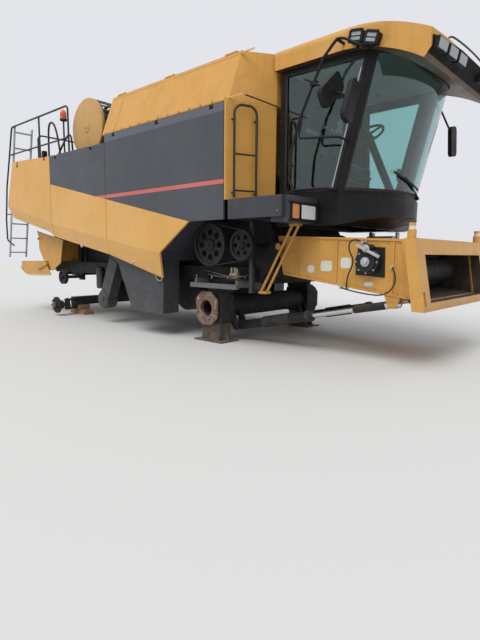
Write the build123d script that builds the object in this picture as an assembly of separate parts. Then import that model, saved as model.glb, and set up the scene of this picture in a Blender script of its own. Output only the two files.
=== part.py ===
from build123d import *
import math
import os

# Combine harvester with its drive wheels and final drives taken off, standing on axle stands and timber.
# Millimetres, +X forward, +Y to the left, +Z up. Every piece is drawn from the front axle's centre line
# (X 0) and the floor (Z 0), and is moved forward by AXLE_X as it is saved, so that the origin lies
# under the middle of the whole machine.

# Overall sizes
BODY_HALF = 1500.0          # centre line to the outside of the side panels
REAR_END = -5520.0          # rearmost point, the foot of the rear ladder
FRONT_END = 2820.0          # foremost point, the lower edge of the header frame
AXLE_X = -(REAR_END + FRONT_END) / 2
WHEELBASE = 3900.0
SHEET = 30.0                # side panels, front walls
THIN = 15.0                 # liners and decks
SEAM = 8.0                  # gap between two panels
RUN = 0.3                   # seat clearance between bodies
PIN_PLAY = 0.05             # radial play of a pin in its bore

# Side panels: X of the seams and heights of the top edge
NOSE_X, NOSE_Z = 20.0, 1550.0
PANEL_FRONT_X = 620.0
SEAM_1 = -1790.0
SEAM_2 = -3460.0
PANEL_REAR_X = -5190.0
PANEL_TOP = 2840.0
STEP_TOP = 2740.0
CREASE_TILT = 13.0          # how far the lower facet leans inward, degrees
PANEL_AXIS_Y = -BODY_HALF + SHEET / 2
PANEL_PIN_R = 6.0
PANEL_AXIS_DROP = 14.0      # hinge axis below the panel's front top corner
LUG_W = 60.0

# Grain tank
TANK_SEAM_Z = 2862.0
TANK_TOP_Z = 3430.0
TANK_WALL = 25.0
TANK_FRONT_X = 900.0
TANK_REAR_X = -1900.0
TANK_RIGHT = -BODY_HALF + 40        # foot of the band on the right
TANK_LEFT = BODY_HALF - 420          # foot of the band on the left, inside the unloading tube
TANK_LEAN = 210.0           # how far the band leans inward at its top
LID_T = 20.0
LID_RISE = 70.0
LID_RIGHT_Y = TANK_RIGHT + TANK_LEAN + 10
LID_LEFT_Y = TANK_LEFT - TANK_LEAN * 0.4 - 10
LID_RIDGE_Y = (LID_RIGHT_Y + LID_LEFT_Y) / 2
LID_KNUCKLES = (-1780.0, -700.0, 400.0)
LID_KNUCKLE_W, LUG_KNUCKLE_W = 120.0, 60.0
KNUCKLE_R = 13.9
LID_AXIS_Z = TANK_TOP_Z + KNUCKLE_R + 0.4

# Threshing body and frame
BODY_SIDE = 800.0
IDLER_X, IDLER_Z, IDLER_R = -3700.0, 720.0, 125.0
BELT_W, BELT_T = 24.0, 12.0
RAIL_Y = 905.0
RAIL_W, RAIL_H = 90.0, 190.0
RAIL_Z = 800.0
FEEDER_PIVOT = (950.0, 1250.0)
PIVOT_PIN_R = 40.0

# Front axle
AXLE_Z = 450.0
AXLE_TUBE_R = 150.0
BORE_R = 107.5
FLANGE_Y = 1180.0
FLANGE_T = 32.0
FLANGE_HEIGHT, FLANGE_WIDTH = 440.0, 385.0
FLANGE_PCD, FLANGE_HOLES, FLANGE_HOLE_R = 320.0, 8, 10.0
AXLE_BOX_Y = (860.0, 1100.0)
AXLE_BOX = (420.0, 400.0)   # along X, along Z
STAND_Y = 985.0

# Rear axle
REAR_X = -WHEELBASE
HUB_Z = 205.0
KING_Y = 1040.0
KING_R = 24.0
BEAM_W, BEAM_H = 170.0, 150.0
HUB_R = 150.0
HUB_FACE_Y = 1260.0
STUD_R, STUD_LENGTH, STUD_COUNT, STUD_PCD = 9.0, 45.0, 8, 220.0
TIMBER_Y = 750.0
ARM_LENGTH = 190.0
CAMBER = 1.5                # how far the rear hubs lean out at the top, degrees

# Feeder house, header frame and lift cylinders
FEEDER_HALF = 820.0
FEEDER_WALL = 12.0
FRAME_HALF = 1050.0
LIFT_Y = 750.0
LIFT_BASE = (220.0, 200.0)
LIFT_EYE = (2390.0, 650.0)
BARREL_R, ROD_R = 60.0, 30.0
BARREL_LENGTH = 1180.0
LIFT_PIN_R = 25.0
EYE_PLAY = 5.0              # room for the pin in the rod's eye

# Cab
CAB_REAR = 950.0
CAB_HALF = 880.0
CAB_FLOOR, CAB_TOP = 1800.0, 3230.0
PILLAR_FOOT_X, PILLAR_HEAD_X = 1750.0, 2105.0
NOSE_BULGE = 400.0
CAB_WALL = 50.0
ROOF_HALF = 960.0
LAMP_W, LAMP_H, LENS_T = 190.0, 105.0, 8.0
# Lamps on the roof's right edge: middle X, middle Z, tilt
EDGE_LAMPS = ((1980.0, 3288.0, 10.0), (2146.0, 3232.0, 18.0))
CAB_LIP = 18.0              # how far the base stands out round the cab
GLASS_T = 8.0
DOOR_HINGE = (1085.0, CAB_HALF + 16.0)
DOOR_HINGE_Z = (2060.0, 2760.0)
DOOR_KNUCKLE = 80.0
SHELF_Z = (1550.0, 1770.0)
SHELF_IN = CAB_HALF + CAB_LIP + RUN
LAMP_FACE_X = 1500.0
LENS_SPANS = ((0.455, 0.896), (0.186, 0.387))   # the head lamp's two lenses, in parts of the ledge's width
LADDER_X, LADDER_Y = 960.0, BODY_HALF - 60
HANDRAIL_Y = BODY_HALF - 200
LADDER_PIN_R = 15.0

# Engine bay and rear
SCREEN_X, SCREEN_Z, SCREEN_R = -2570.0, 3110.0, 440.0
SCREEN_FACE_Y = -BODY_HALF + 200
SCREEN_SLOTS = 30
DECK_Z = 2660.0
HOOD_HALF = BODY_HALF - 70
CHOPPER_HALF = BODY_HALF - 315
REAR_LADDER_Y = (-BODY_HALF + 100, -BODY_HALF + 440)
LADDER_RAIL = 60.0
GUARD_Y = -BODY_HALF + 80
AUGER_X, AUGER_Y, AUGER_Z, AUGER_R = 180.0, BODY_HALF - 202, 3200.0, 160.0
AUGER_LENGTH = 5100.0
AUGER_SHELF_Z = 2835.0


def prism_y(points, y_low, y_high):
    """Profile drawn in X and Z, as thick as from y_low to y_high."""
    face = Plane.XZ.offset(-y_high) * Polygon(*points, align=None)
    return extrude(face, amount=y_high - y_low, dir=(0, -1, 0))


def prism_x(points, x_low, x_high):
    """Profile drawn in Y and Z, as long as from x_low to x_high."""
    face = Plane.YZ.offset(x_low) * Polygon(*points, align=None)
    return extrude(face, amount=x_high - x_low, dir=(1, 0, 0))


def prism_z(points, z_low, z_high):
    """Plan drawn in X and Y, as high as from z_low to z_high."""
    face = Plane.XY.offset(z_low) * Polygon(*points, align=None)
    return extrude(face, amount=z_high - z_low, dir=(0, 0, 1))


def block(x, y, z):
    """Box between three pairs of limits."""
    centre = Pos((x[0] + x[1]) / 2, (y[0] + y[1]) / 2, (z[0] + z[1]) / 2)
    return centre * Box(abs(x[1] - x[0]), abs(y[1] - y[0]), abs(z[1] - z[0]))


def round_y(x, y_low, y_high, z, radius):
    """Cylinder along Y."""
    return Pos(x, (y_low + y_high) / 2, z) * Rot(90, 0, 0) * Cylinder(radius, y_high - y_low)


def round_x(x_low, x_high, y, z, radius):
    """Cylinder along X."""
    return Pos((x_low + x_high) / 2, y, z) * Rot(0, 90, 0) * Cylinder(radius, x_high - x_low)


def round_z(x, y, z_low, z_high, radius):
    """Cylinder along Z."""
    return Pos(x, y, (z_low + z_high) / 2) * Cylinder(radius, z_high - z_low)


def rod(start, end, radius):
    """Straight round bar between two points."""
    run = Vector(*end) - Vector(*start)
    return extrude(Plane(origin=start, z_dir=run) * Circle(radius), amount=run.length)


def pipe(points, radius, bend):
    """Bent tube through points, with one bend radius."""
    path = FilletPolyline(*points, radius=bend) if len(points) > 2 else Line(*points)
    return sweep(Plane(origin=points[0], z_dir=path % 0) * Circle(radius), path=path)


def mirror_left(shape):
    """Copy of a right-hand piece on the left."""
    return mirror(shape, about=Plane.XZ)


def join(shapes):
    """Pieces that stay apart, saved as one sub-part."""
    return Compound(children=[solid for shape in shapes for solid in shape.solids()])


def both(shape):
    """A right-hand piece and its mirror image."""
    return join([shape, mirror_left(shape)])


def save(node, shape):
    """Write one sub-part in the machine's own frame."""
    export_step(Pos(AXLE_X, 0, 0) * shape, f"parts/{node}.step")


# Side panels

def crease_wedge(start, end, skin_y):
    """What the lower facet lacks outside its sloping face, along the crease from start to end."""
    reach = 1200.0
    inward = reach * math.tan(math.radians(CREASE_TILT))
    slope = (end[1] - start[1]) / (end[0] - start[0])
    x_low, x_high = end[0] - reach, start[0] + reach
    z_low = end[1] - slope * reach
    foot = [(skin_y, z_low), (skin_y + inward, z_low - reach), (skin_y - reach, z_low - reach),
            (skin_y - reach, z_low)]
    face = Plane.YZ.offset(x_low) * Polygon(*foot, align=None)
    return extrude(face, amount=math.hypot(x_high - x_low, slope * (x_high - x_low)), dir=(1, 0, slope))


def side_panel(outline, crease, axis_z, lugs):
    """Pressed panel of the right side: an upright sheet with a facet that leans inward below its crease."""
    depth = 260.0
    outer = prism_y(outline, -BODY_HALF, -BODY_HALF + depth) - crease_wedge(*crease, -BODY_HALF)
    inner = prism_y(outline, -BODY_HALF, -BODY_HALF + depth) - crease_wedge(*crease, -BODY_HALF + SHEET)
    inner -= block((-6000, 2000), (-BODY_HALF - 10, -BODY_HALF + SHEET), (0, 4000))
    panel = outer - inner
    for x in lugs:
        notch = LUG_W / 2 + 3
        outside = (-BODY_HALF - 1, -BODY_HALF + SHEET + 1)
        panel -= block((x - notch, x + notch), outside, (axis_z - 34, 3000))
        panel -= round_x(x - notch - 26, x + notch + 26, PANEL_AXIS_Y, axis_z, PANEL_PIN_R + PIN_PLAY)
    return panel


def panel_lugs(axis_z, lugs, foot_y, foot_z):
    """Fixed lugs of one panel's hinge, each with its pin, on a foot of the tank or the deck."""
    shapes = []
    for x in lugs:
        arm = [(foot_y, foot_z), (foot_y, foot_z + 50), (PANEL_AXIS_Y, axis_z + 11),
               (PANEL_AXIS_Y - 8, axis_z),
               (PANEL_AXIS_Y, axis_z - 14), (foot_y - 30, foot_z)]
        lug = prism_x(arm, x - LUG_W / 2, x + LUG_W / 2)
        reach = LUG_W / 2 + 26
        shapes.append(lug + round_x(x - reach, x + reach, PANEL_AXIS_Y, axis_z, PANEL_PIN_R))
    return shapes


FRONT_CREASE = ((-540.0, 1150.0), (-3670.0, 1680.0))
REAR_CREASE = ((SEAM_2, 1645.0), (PANEL_REAR_X, 2040.0))
# Outline, crease, height of the hinge axis and the middles of its lugs along X
PANELS = {
    "front": ([(PANEL_FRONT_X, NOSE_Z), (PANEL_FRONT_X, PANEL_TOP), (SEAM_1 + SEAM / 2, PANEL_TOP),
               (SEAM_1 + SEAM / 2, 1132), (-590, 830), (-550, 1170), (NOSE_X, NOSE_Z)], FRONT_CREASE,
              PANEL_TOP - PANEL_AXIS_DROP, (420.0, -580.0, -1560.0)),
    "middle": ([(SEAM_1 - SEAM / 2, STEP_TOP), (SEAM_2 + SEAM / 2, STEP_TOP + 20),
                (SEAM_2 + SEAM / 2, 1430), (SEAM_1 - SEAM / 2, 1133)], FRONT_CREASE,
               STEP_TOP - PANEL_AXIS_DROP, (-2160.0, -3250.0)),
    "rear": ([(SEAM_2 - SEAM / 2, STEP_TOP + 20), (-4900, 2830), (PANEL_REAR_X, 2040), (-5040, 1810),
              (-3680, 1530), (SEAM_2 - SEAM / 2, 1440)], REAR_CREASE,
             STEP_TOP + 20 - PANEL_AXIS_DROP, (-3650.0, -4700.0)),
}

# Grain tank

def tank_plan(inset, lean):
    """Plan of the tank band: its front wall is swept back towards both sides."""
    right, left = TANK_RIGHT + inset + lean, TANK_LEFT - inset - lean * 0.4
    return [(TANK_REAR_X + inset, right), (660 - inset, right), (TANK_FRONT_X - inset, -900 + inset * 0.3),
            (TANK_FRONT_X - inset, 900 - inset * 0.3), (TANK_FRONT_X - 60 - inset, left),
            (TANK_REAR_X + inset, left)]


def tank_band(inset, z_low, z_high):
    """Solid between the foot and the top of the leaning band."""
    foot = Plane.XY.offset(z_low) * Polygon(*tank_plan(inset, 0), align=None)
    head = Plane.XY.offset(z_high) * Polygon(*tank_plan(inset, TANK_LEAN), align=None)
    return loft([foot, head], ruled=True)


def tank_bin(inset, top):
    """Solid of the hopper below the band, with its sloping floor."""
    floor = [(TANK_RIGHT + 60 + inset, top), (TANK_RIGHT + 60 + inset, 2560 + inset * 0.8),
             (-260, 2060 + inset), (260, 2060 + inset), (TANK_LEFT - inset, 2440 + inset * 0.8),
             (TANK_LEFT - inset, top)]
    return prism_x(floor, TANK_REAR_X + 40 + inset, 600 - inset)


def grain_tank():
    """Open hopper of sheet metal."""
    shell = tank_band(0, TANK_SEAM_Z, TANK_TOP_Z) + tank_bin(0, TANK_SEAM_Z + 10)
    shell -= tank_band(TANK_WALL, TANK_SEAM_Z + TANK_WALL, TANK_TOP_Z + 1)
    shell -= tank_bin(TANK_WALL, TANK_SEAM_Z + TANK_WALL + 20)
    for lug in lid_lugs(LID_RIGHT_Y) + lid_lugs(LID_LEFT_Y):
        shell += lug
    return shell



def tank_lid(hinge_y, side):
    """Folding cover from its hinge to the ridge; side is -1 on the right and 1 on the left."""
    low, high = TANK_TOP_Z + RUN, TANK_TOP_Z + LID_RISE
    ridge = LID_RIDGE_Y + side * SEAM / 2
    edge = hinge_y - side * 18
    section = [(edge, low), (edge, low + LID_T), (ridge, high + LID_T), (ridge, high)]
    lid = prism_x(section, TANK_REAR_X + 30, 640)
    for x in LID_KNUCKLES:
        lid += round_x(x, x + LID_KNUCKLE_W, hinge_y, LID_AXIS_Z, KNUCKLE_R)
        lid += block((x, x + LID_KNUCKLE_W), (hinge_y, edge - side * 20), (LID_AXIS_Z - 10, LID_AXIS_Z + 9))
    return lid


def lid_lugs(hinge_y):
    """Fixed knuckles of a lid's hinge, standing on the band's top edge."""
    shapes = []
    for x in LID_KNUCKLES:
        start = x + LID_KNUCKLE_W + RUN
        knuckle = round_x(start, start + LUG_KNUCKLE_W, hinge_y, LID_AXIS_Z, KNUCKLE_R)
        foot = block((start, start + LUG_KNUCKLE_W), (hinge_y - 9, hinge_y + 9), (TANK_TOP_Z - 2, LID_AXIS_Z))
        shapes.append(knuckle + foot)
    return shapes


# Body, frame and axles

def threshing_body():
    """Closed body of the threshing drum and the straw walkers."""
    profile = [(820, 950), (820, 1400), (640, 1780), (600, 2030), (TANK_REAR_X - 40, 2030),
               (TANK_REAR_X - 100, DECK_Z - THIN),
               (-4880, DECK_Z - THIN), (-5080, 2060), (-4700, 1520), (-3950, 1380), (-2300, 960), (-900, 900),
               (-600, 760), (500, 760)]
    body = prism_y(profile, -BODY_SIDE, BODY_SIDE)
    for side in (-1, 1):
        body += block((700, CAB_REAR - CAB_LIP), (side * 480, side * 600), (1500, 1600))
    return body - block((560, 830), (-700, 700), (1010, 1330))


def cleaning_shoe():
    """Fan housing and sieve box under the body."""
    shoe = prism_y([(-880, 420), (-880, 890), (-2300, 950), (-3700, 1270), (-3700, 860), (-2000, 520)],
                   -740, 740)
    shoe += round_y(-870, -740, 740, 600, 280)
    shoe += prism_y([(-2570, 700), (-2535, 345), (-2365, 345), (-2330, 640)], -1000, 1000)
    return shoe - threshing_body()


def frame_side():
    """Right rail with its axle saddle and the feeder's pivot bracket."""
    rail = block((-4450, 640), (-RAIL_Y - RAIL_W / 2, -RAIL_Y + RAIL_W / 2), (RAIL_Z, RAIL_Z + RAIL_H))
    saddle = prism_y([(-230, RAIL_Z), (230, RAIL_Z), (190, AXLE_Z + 195), (-190, AXLE_Z + 195)],
                     -RAIL_Y - 40, -RAIL_Y + 40)
    bracket = prism_y([(640, 800), (1010, 1190), (1010, 1310), (890, 1310), (640, 1110)],
                      -RAIL_Y + 15, -RAIL_Y + 45)
    bracket -= round_y(FEEDER_PIVOT[0], -RAIL_Y, -RAIL_Y + 60, FEEDER_PIVOT[1], PIVOT_PIN_R + PIN_PLAY)
    return [rail, saddle, bracket + block((600, 640), (-RAIL_Y + 15, -RAIL_Y + 45), (990, 1110))]


def frame_stays():
    """Short stays from the right rail to the closed body and down to the rear pulley."""
    shapes = []
    for x, low, high in ((250.0, 860.0, 980.0), (-1400.0, 935.0, 985.0), (IDLER_X, IDLER_Z - 60, 1370.0)):
        shapes.append(block((x - 60, x + 60), (-RAIL_Y + RAIL_W / 2, -BODY_SIDE), (low, high)))
    return shapes


def main_frame():
    """Two long rails with axle saddles, pivot brackets, stays, cross members and the rear axle's hangers."""
    right = frame_side() + frame_stays()
    shapes = right + [mirror_left(member) for member in right]
    inner = RAIL_Y - RAIL_W / 2
    for x, half in ((-4300.0, 50.0), (REAR_X, BEAM_W / 2 + 30)):
        shapes.append(block((x - half, x + half), (-inner, inner), (RAIL_Z - 60, RAIL_Z + 20)))
    hanger = block((REAR_X - BEAM_W / 2 - 30, REAR_X - BEAM_W / 2), (-150, 150), (HUB_Z + 140, RAIL_Z - 60))
    return shapes + [hanger, Pos(BEAM_W + 30, 0, 0) * hanger]


def flange_outline():
    """Rounded eight-sided flange of the axle tube."""
    half_w, half_h, cut = FLANGE_WIDTH / 2, FLANGE_HEIGHT / 2, 105.0
    points = [(half_w, -half_h + cut), (half_w, half_h - cut),
              (half_w - cut, half_h), (-half_w + cut, half_h),
              (-half_w, half_h - cut), (-half_w, -half_h + cut), (-half_w + cut, -half_h),
              (half_w - cut, -half_h)]
    plate = Polygon(*points, align=None)
    return fillet(plate.vertices(), 40)


def front_axle():
    """Axle tube with a housing and an open flange at each end."""
    tube = round_y(0, -FLANGE_Y, FLANGE_Y, AXLE_Z, AXLE_TUBE_R)
    housing = block((-AXLE_BOX[0] / 2, AXLE_BOX[0] / 2), (-AXLE_BOX_Y[1], -AXLE_BOX_Y[0]),
                    (AXLE_Z - AXLE_BOX[1] / 2, AXLE_Z + AXLE_BOX[1] / 2 - 5.3))
    housing = fillet(housing.edges().filter_by(Axis.Y), 45)
    flange = extrude(Plane.XZ.offset(FLANGE_Y) * flange_outline(), amount=-FLANGE_T)
    flange = Pos(0, 0, AXLE_Z) * flange
    lug = prism_y([(120, AXLE_Z - 60), (120, AXLE_Z - 190),
                   (LIFT_BASE[0] - 20, 145), (LIFT_BASE[0] + 30, 145),
                   (LIFT_BASE[0] + 45, 210), (190, AXLE_Z - 60)], -LIFT_Y + 70, -LIFT_Y + 95)
    lug -= round_y(LIFT_BASE[0], -LIFT_Y, -LIFT_Y + 100, LIFT_BASE[1], LIFT_PIN_R + PIN_PLAY)
    lug_out = Pos(0, -165, 0) * lug
    right = housing + flange + lug + lug_out
    axle = tube + right + mirror_left(right)
    bore = round_y(0, -FLANGE_Y - 1, -FLANGE_Y + 420, AXLE_Z, BORE_R)
    axle -= bore
    axle -= mirror_left(bore)
    for side in (-1, 1):
        for i in range(FLANGE_HOLES):
            turn = math.radians((i + 0.5) * 360 / FLANGE_HOLES)
            x, z = FLANGE_PCD / 2 * math.cos(turn), AXLE_Z + FLANGE_PCD / 2 * math.sin(turn)
            axle -= round_y(x, side * (FLANGE_Y - FLANGE_T / 2) - FLANGE_T, side * (FLANGE_Y - FLANGE_T / 2)
                            + FLANGE_T, z, FLANGE_HOLE_R)
    return axle


def front_stand():
    """Welded steel stand under the axle housing."""
    top = AXLE_Z - AXLE_BOX[1] / 2
    column = block((-160, 160), (-STAND_Y - 110, -STAND_Y + 110), (20, top))
    foot = block((-260, 260), (-STAND_Y - 170, -STAND_Y + 170), (0, 20))
    rib = prism_y([(-250, 20), (250, 20), (165, 160), (-165, 160)], -STAND_Y - 12, -STAND_Y + 12)
    return column + foot + rib


def rear_axle():
    """Steering axle beam with its pivot block and the forked ends that hold the kingpins."""
    bottom = HUB_Z - 25
    beam = block((REAR_X - BEAM_W / 2, REAR_X + BEAM_W / 2), (-KING_Y + 120, KING_Y - 120),
                 (bottom, bottom + BEAM_H))
    pivot = block((REAR_X - BEAM_W / 2, REAR_X + BEAM_W / 2), (-110, 110), (bottom + BEAM_H, RAIL_Z - 140))
    axle = beam + pivot
    for side in (-1, 1):
        for z in (HUB_Z - 95, HUB_Z + 65):
            arm = block((REAR_X - 55, REAR_X + 55), (side * (KING_Y - 170), side * KING_Y), (z, z + 30))
            axle += arm + round_z(REAR_X, side * KING_Y, z, z + 30, 55)
        axle += block((REAR_X - 55, REAR_X + 55), (side * (KING_Y - 170), side * (KING_Y - 110)),
                      (HUB_Z - 95, HUB_Z + 95))
        axle -= round_z(REAR_X, side * KING_Y, HUB_Z - 100, HUB_Z + 100, KING_R + PIN_PLAY)
    return axle


def cambered(shape):
    """Piece drawn level, turned about the right kingpin's middle by the hub's camber."""
    centre = Pos(REAR_X, -KING_Y, HUB_Z)
    return centre * Rot(CAMBER, 0, 0) * centre.inverse() * shape


def knuckle():
    """Right steering knuckle: kingpin, spindle and steering arm."""
    body = round_z(REAR_X, -KING_Y, HUB_Z - 64, HUB_Z + 64, 50)
    pin = round_z(REAR_X, -KING_Y, HUB_Z - 110, HUB_Z + 110, KING_R)
    spindle = cambered(round_y(REAR_X, -HUB_FACE_Y + 40, -KING_Y, HUB_Z, 30))
    arm = block((REAR_X - ARM_LENGTH, REAR_X), (-KING_Y - 20, -KING_Y + 20), (HUB_Z - 20, HUB_Z + 10))
    arm += round_z(REAR_X - ARM_LENGTH, -KING_Y, HUB_Z - 20, HUB_Z + 10, 32)
    return body + pin + spindle + arm


def hub():
    """Right rear hub without its wheel, with studs standing out of its face."""
    disc = round_y(REAR_X, -HUB_FACE_Y, -HUB_FACE_Y + 28, HUB_Z, HUB_R)
    barrel = round_y(REAR_X, -HUB_FACE_Y, -HUB_FACE_Y + 120, HUB_Z, 78)
    cap = round_y(REAR_X, -HUB_FACE_Y - 38, -HUB_FACE_Y, HUB_Z, 58)
    shape = disc + barrel + cap
    shape -= round_y(REAR_X, -HUB_FACE_Y + 38, -HUB_FACE_Y + 130, HUB_Z, 30 + PIN_PLAY)
    for i in range(STUD_COUNT):
        turn = math.radians(i * 360 / STUD_COUNT)
        x, z = REAR_X + STUD_PCD / 2 * math.cos(turn), HUB_Z + STUD_PCD / 2 * math.sin(turn)
        shape += round_y(x, -HUB_FACE_Y - STUD_LENGTH, -HUB_FACE_Y, z, STUD_R)
    return cambered(shape)


def timbers():
    """Two crossed baulks under each end of the rear beam."""
    top = HUB_Z - 25
    lower = block((REAR_X - 260, REAR_X + 260), (-TIMBER_Y - 90, -TIMBER_Y + 90), (0, top / 2))
    upper = block((REAR_X - 110, REAR_X + 110), (-TIMBER_Y - 110, -TIMBER_Y + 110), (top / 2, top))
    return [lower, upper]


# Feeder house and header frame

def feeder_house():
    """Hollow sheet-metal channel, open at both ends, with its pivot pins and cylinder lugs."""
    house = prism_y([(900, 1375), (2581.3, 1310), (2681.6, 700), (985, 915), (930, 1150)],
                    -FEEDER_HALF, FEEDER_HALF)
    house -= prism_y([(700, 1382 - FEEDER_WALL), (2760, 1302 - FEEDER_WALL), (2760, 686 + FEEDER_WALL),
                      (700, 952 + FEEDER_WALL)], -FEEDER_HALF + FEEDER_WALL, FEEDER_HALF - FEEDER_WALL)
    for side in (-1, 1):
        house += round_y(FEEDER_PIVOT[0], min(side * 808, side * 892), max(side * 808, side * 892),
                         FEEDER_PIVOT[1], PIVOT_PIN_R)
        for y in (side * (LIFT_Y - 62), side * (LIFT_Y + 62)):
            lug = prism_y([(LIFT_EYE[0] - 90, 750), (LIFT_EYE[0] - 40, 610), (LIFT_EYE[0] + 40, 610),
                           (LIFT_EYE[0] + 90, 740)], y - 10, y + 10)
            house += lug
        y = side * LIFT_Y
        house += round_y(LIFT_EYE[0], y - 78, y + 78, LIFT_EYE[1], LIFT_PIN_R)
    return house


def feeder_chain():
    """Drum and slatted chain inside the feeder house, as one loop."""
    front, rear = (2330.0, 985.0), (1120.0, 1150.0)
    drum = round_y(front[0], -700, 700, front[1], 150) + round_y(rear[0], -700, 700, rear[1], 110)
    parts = drum
    angle = math.degrees(math.atan2(front[1] - rear[1], front[0] - rear[0]))
    length = math.hypot(front[0] - rear[0], front[1] - rear[1])
    for y in (-520, 0, 520):
        for lift in (150, -150):
            middle = Pos((front[0] + rear[0]) / 2, y, (front[1] + rear[1]) / 2 + lift * 0.87)
            parts += middle * Rot(0, -angle, 0) * Box(length, 50, 24)
    for i in range(9):
        t = i / 8
        x, z = rear[0] + t * length * 0.98, rear[1] + t * (front[1] - rear[1])
        for lift in (1, -1):
            parts += Pos(x, 0, z + lift * 148) * Rot(0, -angle, 0) * Box(40, 1160, 46)
    inner = FEEDER_HALF - FEEDER_WALL
    shafts = round_y(front[0], -inner, inner, front[1], 35) + round_y(rear[0], -inner, inner, rear[1], 35)
    return parts + shafts


def header_frame():
    """Frame that takes the header: leaning posts, two beams and the locating horns."""
    def lean(z):
        return 2690 + (1320 - z) * 0.19
    profile = [(lean(1320) - 110, 1320), (lean(1320), 1320), (FRONT_END, 620), (FRONT_END - 125, 620)]
    frame = prism_y(profile, -FRAME_HALF, FRAME_HALF)
    frame -= block((2400, 3000), (-FRAME_HALF + 190, FRAME_HALF - 190), (700, 1165))
    for side in (-1, 1):
        y = side * (FRAME_HALF - 55)
        slot = extrude(SlotOverall(150, 46), amount=200, both=True)
        frame -= Pos(2760, y, 740) * Rot(0, -90 + 10.8, 0) * slot
        horn = round_z(2635, y, 1320, 1400, 42) + round_z(2635, y, 1400, 1440, 24)
        frame += horn + round_z(2635, y, 1440, 1465, 34)
        plate = [(2470, 1300), (2590, 1300), (2690, 690), (2560, 740)]
        frame += prism_y(plate, side * (FEEDER_HALF + 14) - 13.7, side * (FEEDER_HALF + 14) + 13.7)
    return frame


def feeder_gearbox():
    """Round gear case on the feeder's right wall, with the small shift case above it."""
    x, z = 2130.0, 1085.0
    plate = prism_y([(1965, 945), (2300, 925), (2290, 1235), (1985, 1255)], -FEEDER_HALF - 12, -FEEDER_HALF)
    case = round_y(x, -FEEDER_HALF - 95, -FEEDER_HALF - 12, z, 130)
    case += round_y(x, -FEEDER_HALF - 118, -FEEDER_HALF - 95, z, 104)
    neck = prism_y([(x - 58, z), (x + 66, z), (x + 48, z + 139), (x - 30, z + 139)],
                   -FEEDER_HALF - 80, -FEEDER_HALF - 12)
    return plate + case + neck + round_y(x + 9, -FEEDER_HALF - 132, -FEEDER_HALF - 12, z + 139, 46)


def cylinder_turn():
    """Slope of the lift cylinder at rest, degrees."""
    return math.degrees(math.atan2(LIFT_EYE[1] - LIFT_BASE[1], LIFT_EYE[0] - LIFT_BASE[0]))


def lift_barrel():
    """Barrel of the right lift cylinder, with its eye and pin."""
    eye = round_y(0, -48, 48, 0, 48)
    barrel = round_x(20, BARREL_LENGTH, 0, 0, BARREL_R)
    barrel += round_x(BARREL_LENGTH - 60, BARREL_LENGTH, 0, 0, 68)
    barrel += eye - round_x(BARREL_LENGTH - 700, BARREL_LENGTH, 0, 0, ROD_R + PIN_PLAY)
    barrel -= round_x(BARREL_LENGTH - 700, BARREL_LENGTH + 1, 0, 0, ROD_R + PIN_PLAY)
    barrel += round_y(0, -97, 97, 0, LIFT_PIN_R)
    return Pos(LIFT_BASE[0], -LIFT_Y, LIFT_BASE[1]) * Rot(0, -cylinder_turn(), 0) * barrel


def lift_rod():
    """Rod of the right lift cylinder, with its eye and the thick sleeve behind it."""
    reach = math.hypot(LIFT_EYE[0] - LIFT_BASE[0], LIFT_EYE[1] - LIFT_BASE[1])
    shape = round_x(BARREL_LENGTH - 330, reach - 30, 0, 0, ROD_R)
    shape += round_x(reach - 380, reach - 40, 0, 0, 42)
    shape += round_y(reach, -46, 46, 0, 50)
    shape -= round_y(reach, -50, 50, 0, LIFT_PIN_R + EYE_PLAY)
    return Pos(LIFT_BASE[0], -LIFT_Y, LIFT_BASE[1]) * Rot(0, -cylinder_turn(), 0) * shape


# Cab

def cab_plan(z, inset):
    """Plan of the cab at a height: straight sides and a bowed front."""
    t = (z - CAB_FLOOR) / (CAB_TOP - CAB_FLOOR)
    x = PILLAR_FOOT_X + t * (PILLAR_HEAD_X - PILLAR_FOOT_X) - inset
    half = CAB_HALF - inset
    edge = Polyline((x, half), (CAB_REAR + inset, half), (CAB_REAR + inset, -half), (x, -half))
    bow = ThreePointArc((x, -half), (x + NOSE_BULGE, 0), (x, half))
    return Plane.XY.offset(z) * make_face(edge + bow)


def cab_block(inset, z_low=CAB_FLOOR, z_high=CAB_TOP):
    """Solid of the cab's outside, inset on all sides."""
    return loft([cab_plan(z_low, inset), cab_plan(z_high, inset)], ruled=True)


SIDE_WINDOW = [(1035, 1880), (1690, 1860), (2015, 3145), (1025, 3175)]
DOOR_OUTLINE = [(1130, 1825), (1625, 1825), (1960, 3185), (1060, 3185)]
DOOR_WINDOW = [(1190, 1900), (1570, 1900), (1870, 3120), (1130, 3120)]


def window_cutters():
    """Openings for the windscreen, the right window and the rear window."""
    half = CAB_HALF - 35
    screen = prism_x([(-half, CAB_FLOOR + 60), (half, CAB_FLOOR + 60), (half, CAB_TOP - 60),
                      (-half, CAB_TOP - 60)], 1400, 3200)
    side = prism_y(SIDE_WINDOW, -CAB_HALF - 20, -CAB_HALF + 200)
    rear = prism_x([(-520, 2250), (520, 2250), (520, 3000), (-520, 3000)], CAB_REAR - 20, CAB_REAR + 200)
    return screen, side, rear


def cab_frame():
    """Pillars, rear wall and roof ring of the cab, with its floor, door opening and window openings."""
    shell = cab_block(0) - cab_block(CAB_WALL, CAB_FLOOR + 40, CAB_TOP - 40)
    for cutter in window_cutters():
        shell -= cutter
    shell -= prism_y(DOOR_OUTLINE, CAB_HALF - 200, CAB_HALF + 20)
    for lug in door_lugs():
        shell += lug
    return shell


def cab_glass():
    """Windscreen, right window and rear window, flush in their openings."""
    pane = cab_block(10) - cab_block(10 + GLASS_T)
    return [(pane & cutter) for cutter in window_cutters()]



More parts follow.
